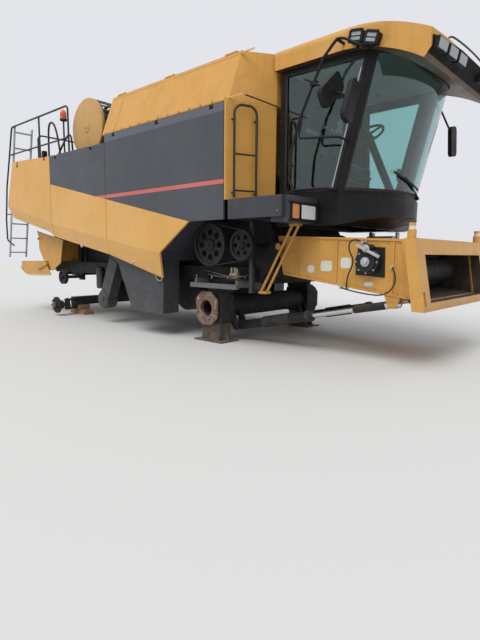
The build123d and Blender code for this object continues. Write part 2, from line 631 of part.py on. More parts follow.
def cab_door():
    """Left door: a frame as thick as the wall, its window open, on two knuckles at its rear edge."""
    outline = offset(Polygon(*DOOR_OUTLINE, align=None), amount=-6, kind=Kind.INTERSECTION)
    leaf = extrude(Plane.XZ.offset(-CAB_HALF) * outline, amount=40, dir=(0, -1, 0))
    leaf -= prism_y(DOOR_WINDOW, CAB_HALF - 100, CAB_HALF + 20)
    x, y = DOOR_HINGE
    for z in DOOR_HINGE_Z:
        leaf += round_z(x, y, z, z + DOOR_KNUCKLE, 10)
        leaf += block((x, x + 75), (y - 8, y + 2), (z, z + DOOR_KNUCKLE))
        leaf += block((x + 50, x + 75), (CAB_HALF - 5, y + 2), (z, z + DOOR_KNUCKLE))
    return leaf


def door_lugs():
    """Fixed knuckles of the door's hinge, on the cab's outside."""
    x, y = DOOR_HINGE
    shapes = []
    for z in DOOR_HINGE_Z:
        low = z + DOOR_KNUCKLE + RUN
        foot = block((x - 30, x - 5), (CAB_HALF - 4, y + 4), (low, low + 30))
        shapes.append(round_z(x, y, low, low + 30, 10) + foot
                      + block((x - 30, x), (y - 4, y + 4), (low, low + 30)))
    return shapes


def door_glass():
    """Pane of the left door."""
    return prism_y(DOOR_WINDOW, CAB_HALF - 26, CAB_HALF - 26 + GLASS_T)


def cab_roof():
    """Pressed roof with its overhanging visor, rounded along both sides."""
    rear, top = TANK_FRONT_X + 8, CAB_TOP + 220
    under = ThreePointArc((1800, CAB_TOP), (2250, CAB_TOP - 92), (2640, CAB_TOP - 280))
    over = ThreePointArc((2755, CAB_TOP - 65), (2130, top - 48), (1440, top))
    edge = Polyline((1440, top), (rear, top - 15), (rear, CAB_TOP), (1800, CAB_TOP))
    front = Polyline((2640, CAB_TOP - 280), (2770, CAB_TOP - 110), (2755, CAB_TOP - 65))
    side = make_face([under, front, over, edge])
    roof = extrude(Plane.XZ.offset(-ROOF_HALF) * side, amount=2 * ROOF_HALF, dir=(0, -1, 0))
    edge = Polyline((2700, ROOF_HALF), (rear, ROOF_HALF), (rear, -ROOF_HALF), (2700, -ROOF_HALF))
    bow = ThreePointArc((2700, -ROOF_HALF), (2800, 0), (2700, ROOF_HALF))
    plan = extrude(Plane.XY.offset(CAB_TOP - 430) * make_face(edge + bow), amount=900)
    section = Rectangle(2 * ROOF_HALF, 1200)
    section = fillet(section.vertices(), 90)
    crown = extrude(Plane.YZ.offset(700) * Pos(0, top + 12 - 600) * section, amount=2200)
    roof = (roof & plan & crown) - cab_block(0)
    for lamp in lamp_bar():
        roof -= lamp
    return roof


def visor_lamps():
    """Places of the lamps along the visor: middle X, middle Y, turn about the upright."""
    places = []
    for y in (-830.0, -590.0, -350.0, 350.0, 590.0, 830.0):
        places.append((2740 - 30 * (y / ROOF_HALF) ** 2, y, math.degrees(math.atan2(60 * y, ROOF_HALF ** 2))))
    return places


def lamp_bar():
    """Work lamps under the visor's front edge, and the two on the roof's right edge."""
    shapes = []
    for x, y, turn in visor_lamps():
        shapes.append(Pos(x, y, 3075) * Rot(0, 0, turn) * Rot(0, 12, 0) * Box(90, LAMP_W, LAMP_H))
    for x, z, tilt in EDGE_LAMPS:
        lamp = Pos(x, -ROOF_HALF - 38, z) * Rot(0, tilt, 0) * Box(LAMP_H + 30, 76, LAMP_H)
        shapes.append(lamp)
    return shapes


def lamp_lenses():
    """Clear lenses in front of every lamp, the head lamps among them."""
    shapes = []
    for x, y, turn in visor_lamps():
        lens = Pos(45 + LENS_T / 2, 0, 0) * Box(LENS_T, LAMP_W - 20, LAMP_H - 20)
        shapes.append(Pos(x, y, 3075) * Rot(0, 0, turn) * Rot(0, 12, 0) * lens)
    for x, z, tilt in EDGE_LAMPS:
        lens = Pos(0, -38 - LENS_T / 2, 0) * Box(LAMP_H + 10, LENS_T, LAMP_H - 20)
        shapes.append(Pos(x, -ROOF_HALF - 38, z) * Rot(0, tilt, 0) * lens)
    width = BODY_HALF - SHELF_IN
    for start, end in LENS_SPANS:
        shapes += head_lens(-BODY_HALF + start * width, -BODY_HALF + end * width, 1535, 1680)
    return shapes


def head_lens(y_low, y_high, z_low, z_high):
    """One lens with rounded corners on the front of each ledge's lamp box."""
    outline = fillet(Rectangle(y_high - y_low, z_high - z_low).vertices(), 18)
    lens = extrude(Plane.YZ.offset(LAMP_FACE_X) * Pos((y_low + y_high) / 2, (z_low + z_high) / 2) * outline,
                   amount=2 * LENS_T)
    return [lens, mirror_left(lens)]


def cab_base():
    """Floor tray and fascia under the windscreen."""
    plan = cab_plan(CAB_FLOOR, -CAB_LIP).moved(Location((0, 0, -CAB_FLOOR)))
    tray = extrude(Plane.XY.offset(1480) * plan, amount=CAB_FLOOR - 1480)
    tray -= block((1050, 1700), (-700, 700), (1400, 1740))
    return tray - prism_y([(1500, 1400), (2300, 1400), (2300, 1640)], -1000, 1000)


def side_shelf():
    """Ledge beside the cab, with the box that holds the head lamp."""
    shelf = block((690, 1450), (-BODY_HALF, -SHELF_IN), SHELF_Z)
    shelf -= block((700, 1440), (-BODY_HALF + 10, -SHELF_IN - 10), (1540, SHELF_Z[1] - THIN))
    inside = (-BODY_HALF + 5, -SHELF_IN - 5)
    shelf += block((LADDER_X - 30, LADDER_X + 30), inside, (SHELF_Z[0], SHELF_Z[0] + 40))
    box = block((1270, LAMP_FACE_X), (-BODY_HALF + 60, -SHELF_IN), (1500, SHELF_Z[1]))
    return shelf + box


def front_wall():
    """Swept yellow wall between the side panel and the cab."""
    plan = [(655, -BODY_HALF), (TANK_FRONT_X, -900), (TANK_FRONT_X - 32, -900), (630, -BODY_HALF)]
    return prism_z(plan, SHELF_Z[1], TANK_SEAM_Z)


def seat():
    """Driver's seat on its pedestal."""
    pedestal = block((1180, 1480), (-180, 180), (CAB_FLOOR + 40, 2120))
    cushion = fillet(block((1130, 1560), (-250, 250), (2120, 2240)).edges(), 30)
    back = prism_y([(1120, 2240), (1230, 2240), (1130, 2920), (1040, 2900)], -230, 230)
    rest = block((1200, 1620), (-400, -290), (2330, 2410))
    return pedestal + cushion + back + rest + block((1300, 1400), (-400, -180), (2060, 2330))


def steering_column():
    """Column with its wheel."""
    foot, head = (1960.0, 0.0, CAB_FLOOR + 40), (1600.0, 0.0, 2600.0)
    column = rod((1975.0, 0.0, CAB_FLOOR), head, 45) - block((1700, 2300), (-200, 200), (1500, foot[2]))
    wheel = Torus(190, 15) + Cylinder(50, 30) + Box(370, 30, 16) + Box(30, 370, 16)
    wheel = Pos(*head) * Rot(0, -24, 0) * wheel
    return column + wheel


# Rear and top

def engine_deck():
    """Sheet deck above the straw walkers, with its side flanges."""
    return block((-4880, TANK_REAR_X - 60), (-HOOD_HALF, HOOD_HALF), (DECK_Z - THIN, DECK_Z))


def side_ribs(top):
    """Posts and bars between the closed body and the seams of the right side panels, front and rear."""
    x, y = (SEAM_1 - 25, SEAM_1 + 25), -HOOD_HALF - 10
    front = [block(x, (y, y + 40), (1370, top)), block(x, (y, -BODY_SIDE), (1300, 1370))]
    x = (SEAM_2 - 25, SEAM_2 + 25)
    rear = [block(x, (y, y + 50), (1640, DECK_Z - THIN)), block(x, (y + 50, -BODY_SIDE), (1640, 1710)),
            block(x, (y + 50, -870), (2570, DECK_Z - THIN))]
    return front + rear


def auger_shelf():
    """Sheet under the folded unloading tube, from the tank's left wall to the side panel."""
    shelf = block((TANK_REAR_X + 40, 600), (TANK_LEFT, HOOD_HALF), (AUGER_SHELF_Z, AUGER_SHELF_Z + 20))
    return shelf - round_z(AUGER_X, AUGER_Y, AUGER_SHELF_Z - 30, AUGER_SHELF_Z + 50, AUGER_R)


def hood_frame():
    """Deck, ribs, tube shelf and the lugs of every side panel's hinge."""
    shelf = auger_shelf()
    shapes = [engine_deck(), shelf] + side_ribs(AUGER_SHELF_Z - 55)
    shapes += [mirror_left(bar) for bar in side_ribs(AUGER_SHELF_Z)]
    for name, (outline, crease, axis_z, lugs) in PANELS.items():
        foot = (TANK_RIGHT + 60, AUGER_SHELF_Z - 50) if name == "front" else (-HOOD_HALF + 45, DECK_Z)
        for lug in panel_lugs(axis_z, lugs, *foot):
            shapes += [lug, mirror_left(lug) - shelf]
    return shapes


def screen_housing():
    """Radiator box that the rotary screen turns on."""
    box = block((SCREEN_X - 470, SCREEN_X + 470), (-820, -560), (DECK_Z, SCREEN_Z + 400))
    return box + round_y(SCREEN_X, SCREEN_FACE_Y + 120, -820, SCREEN_Z, 30)


def rotary_screen():
    """Drum that keeps chaff from the radiator: a flat face and a rim with slots between narrow bars."""
    drum = round_y(SCREEN_X, SCREEN_FACE_Y, -840, SCREEN_Z, SCREEN_R)
    drum -= round_y(SCREEN_X, SCREEN_FACE_Y + 30, -830, SCREEN_Z, SCREEN_R - 12)
    for i in range(SCREEN_SLOTS):
        turn = Pos(SCREEN_X, 0, SCREEN_Z) * Rot(0, i * 360 / SCREEN_SLOTS, 0)
        for y in (SCREEN_FACE_Y + 140, SCREEN_FACE_Y + 330):
            drum -= turn * Pos(SCREEN_R - 6, y, 0) * Box(40, 160, 62)
    shape = drum + round_y(SCREEN_X, SCREEN_FACE_Y - 12, SCREEN_FACE_Y + 200, SCREEN_Z, 60)
    return shape - round_y(SCREEN_X, SCREEN_FACE_Y + 115, SCREEN_FACE_Y + 300, SCREEN_Z, 30 + PIN_PLAY)


def unloading_auger():
    """Unloading tube folded back along the tank, with its elbow and spout."""
    tube = round_x(AUGER_X - AUGER_LENGTH, AUGER_X, AUGER_Y, AUGER_Z, AUGER_R)
    elbow = round_z(AUGER_X, AUGER_Y, AUGER_Z - 230, AUGER_Z, AUGER_R)
    elbow += Pos(AUGER_X, AUGER_Y, AUGER_Z) * Sphere(AUGER_R)
    spout_x = AUGER_X - AUGER_LENGTH
    spout = prism_y([(spout_x - 60, AUGER_Z + 100), (spout_x + 260, AUGER_Z), (spout_x + 200, AUGER_Z - 260),
                     (spout_x - 120, AUGER_Z - 260)], AUGER_Y - 150, AUGER_Y + 150)
    shape = tube + elbow + spout
    shape -= prism_y([(spout_x + 10, AUGER_Z), (spout_x + 200, AUGER_Z - 60), (spout_x + 160, AUGER_Z - 300),
                      (spout_x - 90, AUGER_Z - 300)], AUGER_Y - 135, AUGER_Y + 135)
    return shape


def auger_base():
    """Upright tube that feeds the unloading auger."""
    foot = 1600.0
    trough = block((AUGER_X - 120, AUGER_X + 120), (BODY_SIDE, AUGER_Y), (foot, foot + 240))
    return trough + round_z(AUGER_X, AUGER_Y, foot, AUGER_Z - 230 - RUN, AUGER_R)


def chopper():
    """Straw chopper at the rear: its housing, and a wing with a swept plate on either side."""
    housing = prism_y([(-3980, 1370), (-4660, 1500), (-4700, 1200), (-4560, 930), (-4150, 900), (-3980, 1100)],
                      -860, 860)
    wing = prism_y([(-3960, 1350), (-4620, 1470), (-4640, 1240), (-4470, 1010), (-3960, 1010)],
                   -CHOPPER_HALF, -860)
    plate = prism_y([(-4670, 1570), (-3676, 1382), (-3795, 970), (-4131, 821), (-4430, 1176)],
                    -CHOPPER_HALF - 15, -CHOPPER_HALF)
    wing += plate
    return [housing, wing, mirror_left(wing)]


def deflector():
    """Spreader hood behind the chopper: a sheet between two cheeks, with its fins below."""
    hood = prism_y([(-4590, 1000), (-5415, 985), (-5470, 838), (-5455, 832), (-5402, 970), (-4590, 985)],
                   -CHOPPER_HALF, CHOPPER_HALF)
    for y in (-900, -540, -180, 180, 540, 900):
        hood += prism_y([(-4640, 990), (-5400, 975), (-5440, 850), (-5200, 760), (-4700, 820)], y - 5, y + 5)
    for y in (-CHOPPER_HALF + 5, CHOPPER_HALF - 5):
        hood += prism_y([(-4430, 1000), (-5415, 985), (-5470, 838), (-5170, 705), (-4200, 738)], y - 5, y + 5)
    for piece in chopper():
        hood -= piece
    return hood


def rear_ladder():
    """Ladder at the back, from the deck down to the chopper's height: two flat rails, rungs and stays."""
    head, foot = (-4955.0, 3500.0), (REAR_END + LADDER_RAIL / 2, 1060.0)
    half = LADDER_RAIL / 2
    outline = [(head[0] - half, head[1]), (head[0] + half, head[1]), (foot[0] + half, foot[1]),
               (foot[0] - half, foot[1])]
    shapes = [prism_y(outline, REAR_LADDER_Y[0], REAR_LADDER_Y[0] + THIN),
              prism_y(outline, REAR_LADDER_Y[1] - THIN, REAR_LADDER_Y[1])]
    inner = (REAR_LADDER_Y[0] + THIN, REAR_LADDER_Y[1] - THIN)
    for i in range(9):
        t = 0.04 + i * 0.115
        x, z = head[0] + t * (foot[0] - head[0]), head[1] + t * (foot[1] - head[1])
        shapes.append(block((x - 24, x + 24), inner, (z - 11, z + 11)))
    for y in (inner[0], inner[1] - 20):
        shapes.append(block((-5150, -4880), (y, y + 20), (DECK_Z - 30, DECK_Z)))
    return shapes


def deck_rails():
    """Guard rails round the deck; the right one runs on down beside the ladder as its grab rail."""
    y, top, mid = GUARD_Y, 3490.0, 3000.0
    loop = pipe([(-2935, y, DECK_Z), (-2935, y, top), (-5029, y, top), (-5185, y, 3005), (-5380, y, 2424),
                 (-5490, y, 1800), (-5490, y, 1400), (-5200, y, 1290)], 15, 70)
    loop += round_x(-5180, -2935, y, mid, 13) + round_z(-3930, y, DECK_Z, top, 15)
    for x in (-2935, -3930):
        loop += block((x - 30, x + 30), (y - 15, y + 40), (DECK_Z, DECK_Z + 12))
    loop += round_y(-5055, y, REAR_LADDER_Y[0], mid, 13) + round_x(-5480, -5330, y, 1900, 10)
    loop += round_y(-5330, y, REAR_LADDER_Y[0], 1900, 10)
    across = pipe([(-4860, -1000, DECK_Z), (-4860, -1000, top - 90), (-4860, 1060, top - 90),
                   (-4860, 1060, DECK_Z)], 15, 90)
    return [loop, across + round_y(-4860, -1000, 1060, mid, 13)]


def beacon():
    """Flashing lamp on a post at the front of the rail."""
    x, y = -3300, -HOOD_HALF + 130
    return round_z(x, y, DECK_Z, 3330, 14) + round_z(x, y, 3330, 3370, 60) + round_z(x, y, 3370, 3520, 52)


def pulley(x, z, radius, holes, y_out, width):
    """Grooved belt pulley with lightening holes."""
    disc = round_y(x, y_out, y_out + width, z, radius)
    disc -= round_y(x, y_out - 1, y_out + width * 0.35, z, radius - 28)
    disc += round_y(x, y_out, y_out + width, z, radius * 0.28)
    for i in range(holes):
        turn = math.radians(i * 360 / holes)
        r = radius * 0.58
        hole = (x + r * math.cos(turn), z + r * math.sin(turn))
        disc -= round_y(hole[0], y_out - 2, y_out + width + 2, hole[1], radius * 0.16)
    return disc


def belt(first, second, y_out):
    """Flat belt round two pulleys, each given by its middle X, middle Z and radius."""
    loops = []
    for grow in (BELT_T / 3, -BELT_T * 2 / 3):
        circles = [Pos(x, z) * Circle(radius + grow) for x, z, radius in (first, second)]
        loops.append(make_hull([edge for circle in circles for edge in circle.edges()]))
    face = Plane.XZ.offset(-y_out - BELT_W) * (loops[0] - loops[1])
    return extrude(face, amount=BELT_W, dir=(0, -1, 0))


def right_drive():
    """Belt pulleys of the right side on their shafts, and the belt of the front pair."""
    shapes = []
    loop = belt((110.0, 1270.0, 270.0), (650.0, 1260.0, 180.0), -1212)
    for x, z, radius, holes, inner in (
            (110.0, 1270.0, 270.0, 8, -BODY_SIDE), (650.0, 1260.0, 180.0, 6, -BODY_SIDE),
            (-700.0, 1700.0, 150.0, 5, -BODY_SIDE), (IDLER_X, IDLER_Z, IDLER_R, 0, -RAIL_Y + RAIL_W / 2)):
        wheel = pulley(x, z, radius, holes, -1230, 60)
        wheel += round_y(x, -1250, inner, z, 28)
        shapes.append(wheel - loop)
    return shapes + [loop]


def left_drive():
    """Belt pulleys of the left side on their shafts, and the belt of the front pair."""
    shapes = []
    loop = mirror_left(belt((120.0, 1230.0, 270.0), (560.0, 1300.0, 160.0), -1212))
    for x, z, radius, holes in ((120.0, 1230.0, 270.0, 6), (560.0, 1300.0, 160.0, 5),
                                (-2400.0, 2380.0, 190.0, 6),
                                (-1300.0, 1500.0, 140.0, 0)):
        wheel = mirror_left(pulley(x, z, radius, holes, -1230, 60))
        wheel += round_y(x, BODY_SIDE, 1250, z, 28)
        shapes.append(wheel - loop)
    return shapes + [loop]


def elevator():
    """Grain elevator on the right: a boxed leg between its round foot and its head, with the chute."""
    foot, head = (-2450.0, 400.0), (-1560.0, 2180.0)
    run = math.hypot(head[0] - foot[0], head[1] - foot[1])
    turn = math.degrees(math.atan2(head[1] - foot[1], head[0] - foot[0]))
    leg = Pos((foot[0] + head[0]) / 2, -1090, (foot[1] + head[1]) / 2) * Rot(0, -turn, 0) * Box(run, 170, 230)
    leg += round_y(foot[0], -1180, -1000, foot[1], 150) + round_y(head[0], -1175, -1005, head[1], 125)
    return leg + block((head[0] - 130, head[0] + 90), (-1010, -BODY_SIDE), (1850, 2010))


def side_box():
    """Dark sheet box behind the front wheel place, and the liner above it."""
    outline = [(-655, 330), (-625, 1060), (-1740, 1180), (-1740, 1080), (-1370, 330)]
    box = prism_y(outline, -BODY_HALF + 130, -BODY_HALF + 410)
    return box


def arch_liner():
    """Rear wall of the wheel arch."""
    outline = [(NOSE_X + 20, NOSE_Z + 20), (-570, 1185), (-625, 1062), (-640, 1062), (-590, 1195),
               (NOSE_X + 10, NOSE_Z + 36)]
    return prism_y(outline, -BODY_HALF + 60, -BODY_SIDE)


def strut_bars():
    """Two slanting bars, the post and the long step bar in front of and below the right drive."""
    shapes = None
    for shift in (0.0, 70.0):
        bar = rod((800 + shift, -1020 + shift * 0.4, 700), (1250 + shift, -1020 + shift * 0.4, 1485), 16)
        shapes = bar if shapes is None else shapes + bar
    shapes += block((1225, 1345), (-1050, -960), (1478, 1500))
    shapes += block((770, 900), (-1040, -950), (680, 712))
    shapes += block((640, 780), (-960, -RAIL_Y), (685, 805))
    post = block((692, 732), (-1120, -1080), (685, SHELF_Z[0]))
    post += block((692, 732), (-1080, -960), (685, 725))
    step = block((-250, 580), (-1230, -1180), (722, 782))
    for x in (-215.0, 520.0):
        step += block((x, x + 40), (-1180, -RAIL_Y - RAIL_W / 2), (740, 830))
    return [shapes + post, step]


def boarding_ladder():
    """Short ladder under the left ledge, on an upright hinge pin at its rear rail."""
    shapes = block((LADDER_X + 32, LADDER_X + 60), (LADDER_Y - 60, LADDER_Y + 25), (870, 1495))
    shapes += block((LADDER_X + 430, LADDER_X + 455), (LADDER_Y - 60, LADDER_Y + 25), (870, 1495))
    for z in (890.0, 1150.0, 1410.0):
        shapes += block((LADDER_X + 30, LADDER_X + 440), (LADDER_Y - 180, LADDER_Y + 25), (z, z + 28))
    for z in (1080.0, 1440.0):
        shapes += round_z(LADDER_X, LADDER_Y, z, z + 60, 26) + block(
            (LADDER_X, LADDER_X + 40), (LADDER_Y - 15, LADDER_Y + 15), (z, z + 60))
        shapes -= round_z(LADDER_X, LADDER_Y, z - 5, z + 65, LADDER_PIN_R + PIN_PLAY)
    return shapes


def ladder_post():
    """Upright pin of the boarding ladder, hung from the left ledge."""
    post = round_z(LADDER_X, LADDER_Y, 1050, SHELF_Z[0], LADDER_PIN_R)
    return post + round_z(LADDER_X, LADDER_Y, 1080 - 30, 1080 - RUN, 26)


def handrail():
    """Bent grab rail with two rungs on the swept front wall."""
    slope = math.degrees(math.atan2(TANK_FRONT_X - 655, BODY_HALF - 900))
    out, half, height = 62.0, 140.0, 1010.0
    rail = pipe([(out, -half, 0), (out, -half, height), (out, half, height), (out, half, 0)], 14, 100)
    rail += round_y(out, -half, half, 480, 10) + round_y(out, -half, half, 80, 10)
    for y in (-half, half):
        for z in (60.0, 860.0):
            rail += round_x(0, out, y, z, 9)
    foot = Pos(655 + (BODY_HALF - HANDRAIL_Y) * math.tan(math.radians(slope)), -HANDRAIL_Y, SHELF_Z[1] + 20)
    return foot * Rot(0, 0, -slope) * rail


def mirror_head(x, y, z, width, height, tilt):
    """Rounded mirror housing across the machine, tilted in its own plane, its back's middle at a point."""
    outline = fillet(Rectangle(width, height).vertices(), width * 0.3)
    return Pos(x, y, z) * extrude(Plane.YZ * Rot(0, 0, tilt) * outline, amount=50, dir=(1, 0, 0))


def mirror_arms():
    """Looped tubes before the right window with their two mirrors, and the mirror arm of the left side."""
    wall = CAB_HALF + RUN
    y = -1100.0
    right = pipe([(1800, -ROOF_HALF, 3290), (1800, y, 3290), (1650, y, 3150), (1380, y, 2610), (1270, y, 2290),
                  (1245, y, 1990), (1310, y, 1855), (1715, y, 1848), (1715, -wall, 1848)], 15, 30)
    right += pipe([(1410, y, 2670), (1360, y, 2400), (1844, y, 2350), (1844, -wall, 2350)], 12, 40)
    right += rod((1440, -1115, 2985), (2085, -1266, 2636), 11)
    right += block((1530, 1600), (-1160, y), (2890, 2935))
    right += mirror_head(1850, -1300, 2745, 200, 420, -50) + mirror_head(2070, -1300, 2600, 160, 420, -23)
    left = pipe([(2020, wall, 3110), (2020, 1100, 3110), (2140, 1290, 2760)], 12, 40)
    return [right, left + mirror_head(2135, 1280, 2660, 190, 380, 10)]


def build():
    """Make every sub-part and save it."""
    os.makedirs("parts", exist_ok=True)
    for name, values in PANELS.items():
        panel = side_panel(*values)
        save(f"side_panel_right_{name}", panel)
        save(f"side_panel_left_{name}", mirror_left(panel))
    save("grain_tank", grain_tank())
    save("tank_lid_right", tank_lid(LID_RIGHT_Y, -1))
    save("tank_lid_left", tank_lid(LID_LEFT_Y, 1))
    save("threshing_body", threshing_body())
    save("cleaning_shoe", cleaning_shoe())
    save("main_frame", join(main_frame()))
    save("front_axle", front_axle())
    save("front_stands", both(front_stand()))
    save("rear_axle", rear_axle())
    save("rear_timbers", join([s for t in timbers() for s in (t, mirror_left(t))]))
    save("knuckle_right", knuckle())
    save("knuckle_left", mirror_left(knuckle()))
    save("hub_right", hub())
    save("hub_left", mirror_left(hub()))
    save("feeder_house", feeder_house())
    save("feeder_chain", feeder_chain())
    save("header_frame", header_frame())
    save("feeder_gearbox", feeder_gearbox())
    save("lift_barrel_right", lift_barrel())
    save("lift_barrel_left", mirror_left(lift_barrel()))
    save("lift_rod_right", lift_rod())
    save("lift_rod_left", mirror_left(lift_rod()))
    save("cab_frame", cab_frame())
    save("cab_glass", join(cab_glass()))
    save("cab_door", cab_door())
    save("door_glass", door_glass())
    save("cab_roof", cab_roof())
    save("lamp_bar", join(lamp_bar()))
    save("lamp_lenses", join(lamp_lenses()))
    save("cab_base", cab_base())
    save("side_shelves", join([side_shelf(), mirror_left(side_shelf()) + ladder_post()]))
    save("boarding_ladder", boarding_ladder())
    save("front_walls", both(front_wall()))
    save("seat", seat())
    save("steering_column", steering_column())
    save("hood_frame", join(hood_frame()))
    save("engine", block((-3050, -2250), (-450, 900), (DECK_Z, 3330)))
    save("screen_housing", screen_housing())
    save("rotary_screen", rotary_screen())
    save("unloading_auger", unloading_auger())
    save("auger_base", auger_base())
    save("chopper", join(chopper()))
    save("deflector", deflector())
    save("rear_ladder", join(rear_ladder()))
    save("deck_rails", join(deck_rails()))
    save("beacon", beacon())
    save("right_drive", join(right_drive()))
    save("left_drive", join(left_drive()))
    save("elevators", both(elevator()))
    save("wheel_arches", join([both(side_box()), both(arch_liner())]))
    save("strut_bars", join(strut_bars()))
    save("handrails", both(handrail()))
    save("mirror_arms", join(mirror_arms()))


build()
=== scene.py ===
# %% [markdown]
# A combine harvester, dressed for its portrait
#
# This lesson dresses a grain combine that was modelled as solids: sheet-metal panels, a cab, axles and a
# feeder channel. The solids are the fixed frame of everything here. They could be remodelled in Blender, but
# then they would drift from the working model, so each cell adds a finish or a small piece to what is already
# in place.

# %% Load the harvester's solids
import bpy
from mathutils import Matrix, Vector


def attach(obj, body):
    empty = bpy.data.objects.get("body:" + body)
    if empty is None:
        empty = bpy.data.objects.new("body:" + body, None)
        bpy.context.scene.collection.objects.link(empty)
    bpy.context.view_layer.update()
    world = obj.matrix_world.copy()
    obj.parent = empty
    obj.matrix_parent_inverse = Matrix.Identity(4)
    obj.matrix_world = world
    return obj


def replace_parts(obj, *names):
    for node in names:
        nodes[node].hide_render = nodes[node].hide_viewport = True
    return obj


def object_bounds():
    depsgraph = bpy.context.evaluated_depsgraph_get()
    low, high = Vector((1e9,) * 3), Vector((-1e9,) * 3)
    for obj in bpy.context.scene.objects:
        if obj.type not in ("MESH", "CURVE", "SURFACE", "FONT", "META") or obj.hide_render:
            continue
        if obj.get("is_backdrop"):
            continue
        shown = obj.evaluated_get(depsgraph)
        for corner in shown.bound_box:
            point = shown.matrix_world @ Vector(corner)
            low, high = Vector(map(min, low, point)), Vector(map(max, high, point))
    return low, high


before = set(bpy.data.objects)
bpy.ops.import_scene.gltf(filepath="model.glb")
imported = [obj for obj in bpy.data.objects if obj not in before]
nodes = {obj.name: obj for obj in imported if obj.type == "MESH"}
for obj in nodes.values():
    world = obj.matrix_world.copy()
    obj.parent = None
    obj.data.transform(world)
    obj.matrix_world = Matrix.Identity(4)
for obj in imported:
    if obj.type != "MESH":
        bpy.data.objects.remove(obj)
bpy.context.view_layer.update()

# %% The libraries of this lesson
import math
import bmesh
import bpy
from mathutils import Matrix, Vector

# %% [markdown]
# The camera stands where the photographer stood: low beside the right front corner, looking back along the
# side. It could be set by two angles, but the photograph also rolls a little, so the camera is set by its own
# three axes.

# %% Camera
EYE = Vector((5.886, -5.535, 1.15))
RIGHT = Vector((0.74145, 0.67095, 0.00844))
UP = Vector((-0.09683, 0.09454, 0.99080))
LENS_MM = 27.0


def new_object(name, data):
    """New object at the origin, linked to the scene."""
    made = bpy.data.objects.new(name, data)
    bpy.context.scene.collection.objects.link(made)
    return made


camera_data = bpy.data.cameras.new("camera")
camera_data.lens = LENS_MM
camera = new_object("camera", camera_data)
back = RIGHT.cross(UP)
camera.matrix_world = Matrix.Translation(EYE) @ Matrix((RIGHT, UP, back)).transposed().to_4x4()
bpy.context.scene.camera = camera
print("camera at", EYE, "lens", LENS_MM)

# %% [markdown]
# Colours are written as they look on a screen, as sRGB hex codes, but shaders add light in linear numbers.
# One function does the change for every colour in this lesson. A second one adds a shader node, sets it and
# links it, and a third starts a material whose patterns are measured in metres from the machine's own origin.

# %% Three helpers for materials
def linear(code):
    """Linear colour of an sRGB hex code."""
    parts = [int(code[i:i + 2], 16) / 255 for i in (1, 3, 5)]
    return [c / 12.92 if c <= 0.04045 else ((c + 0.055) / 1.055) ** 2.4 for c in parts] + [1.0]


def add(tree, kind, inputs=None, **settings):
    """Add a node, set it, and link or set its inputs by name or number."""
    made = tree.nodes.new(kind)
    for key, value in settings.items():
        setattr(made, key, value)
    for key, value in (inputs or {}).items():
        if isinstance(value, bpy.types.NodeSocket):
            tree.links.new(value, made.inputs[key])
        else:
            made.inputs[key].default_value = value
    return made


def bare_material(name):
    """New material, its tree, its shader and the Object coordinates that its patterns read."""
    material = bpy.data.materials.new(name)
    material.use_nodes = True
    tree = material.node_tree
    return material, tree, tree.nodes["Principled BSDF"], add(tree, "ShaderNodeTexCoord").outputs["Object"]


print("yellow in linear numbers:", [round(c, 3) for c in linear("#C8913F")])

# %% [markdown]
# A portrait needs a floor and an even sky. Many lamps could be set round the machine, but one wide soft sun
# and a bright world give the flat light of an overcast day, which is what the photograph has.

# %% Floor, sky and sun
FLOOR_HALF = 60.0  # metres from the middle to the floor's edge
SUN_STRENGTH, SUN_SPREAD = 2.1, 40  # degrees of sky that the soft sun takes up
SUN_TOWARDS = Vector((-0.16, 0.66, -1.0))


def studio_floor():
    """Wide pale floor under the machine."""
    mesh = bpy.data.meshes.new("floor")
    half = FLOOR_HALF
    mesh.from_pydata([(-half, -half, 0), (half, -half, 0), (half, half, 0), (-half, half, 0)], [],
                     [(0, 1, 2, 3)])
    floor = new_object("floor", mesh)
    material = bpy.data.materials.new("pale_floor")
    material.use_nodes = True
    material.node_tree.nodes["Principled BSDF"].inputs["Base Color"].default_value = linear("#C9C8C5")
    material.node_tree.nodes["Principled BSDF"].inputs["Roughness"].default_value = 0.85
    mesh.materials.append(material)
    floor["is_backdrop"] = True


def studio_light():
    """World that is pale to the camera and lights softly from above, and one wide sun."""
    world = bpy.data.worlds.new("sky")
    bpy.context.scene.world = world
    world.use_nodes = True
    tree = world.node_tree
    tree.nodes.clear()
    coords = add(tree, "ShaderNodeTexCoord")
    height = add(tree, "ShaderNodeSeparateXYZ", {0: coords.outputs["Generated"]})
    dome = add(tree, "ShaderNodeMapRange", {0: height.outputs[2], 1: -0.2, 2: 0.9, 3: 0.42, 4: 1.0})
    light = add(tree, "ShaderNodeBackground", {"Color": linear("#EEF1F6"), "Strength": dome.outputs[0]})
    seen = add(tree, "ShaderNodeBackground", {"Color": linear("#E3E5EA"), "Strength": 1.0})
    path = add(tree, "ShaderNodeLightPath")
    clear = add(tree, "ShaderNodeMath", {0: path.outputs["Is Camera Ray"], 1: path.outputs["Is Glossy Ray"]},
                operation="MAXIMUM")
    clear = add(tree, "ShaderNodeMath", {0: clear.outputs[0], 1: path.outputs["Is Transmission Ray"]},
                operation="MAXIMUM")
    mix = add(tree, "ShaderNodeMixShader", {0: clear.outputs[0], 1: light.outputs[0], 2: seen.outputs[0]})
    add(tree, "ShaderNodeOutputWorld", {0: mix.outputs[0]})
    sun_data = bpy.data.lights.new("sun", "SUN")
    sun_data.energy = SUN_STRENGTH
    sun_data.angle = math.radians(SUN_SPREAD)
    sun = new_object("sun", sun_data)
    sun.rotation_euler = SUN_TOWARDS.to_track_quat("-Z", "Y").to_euler()


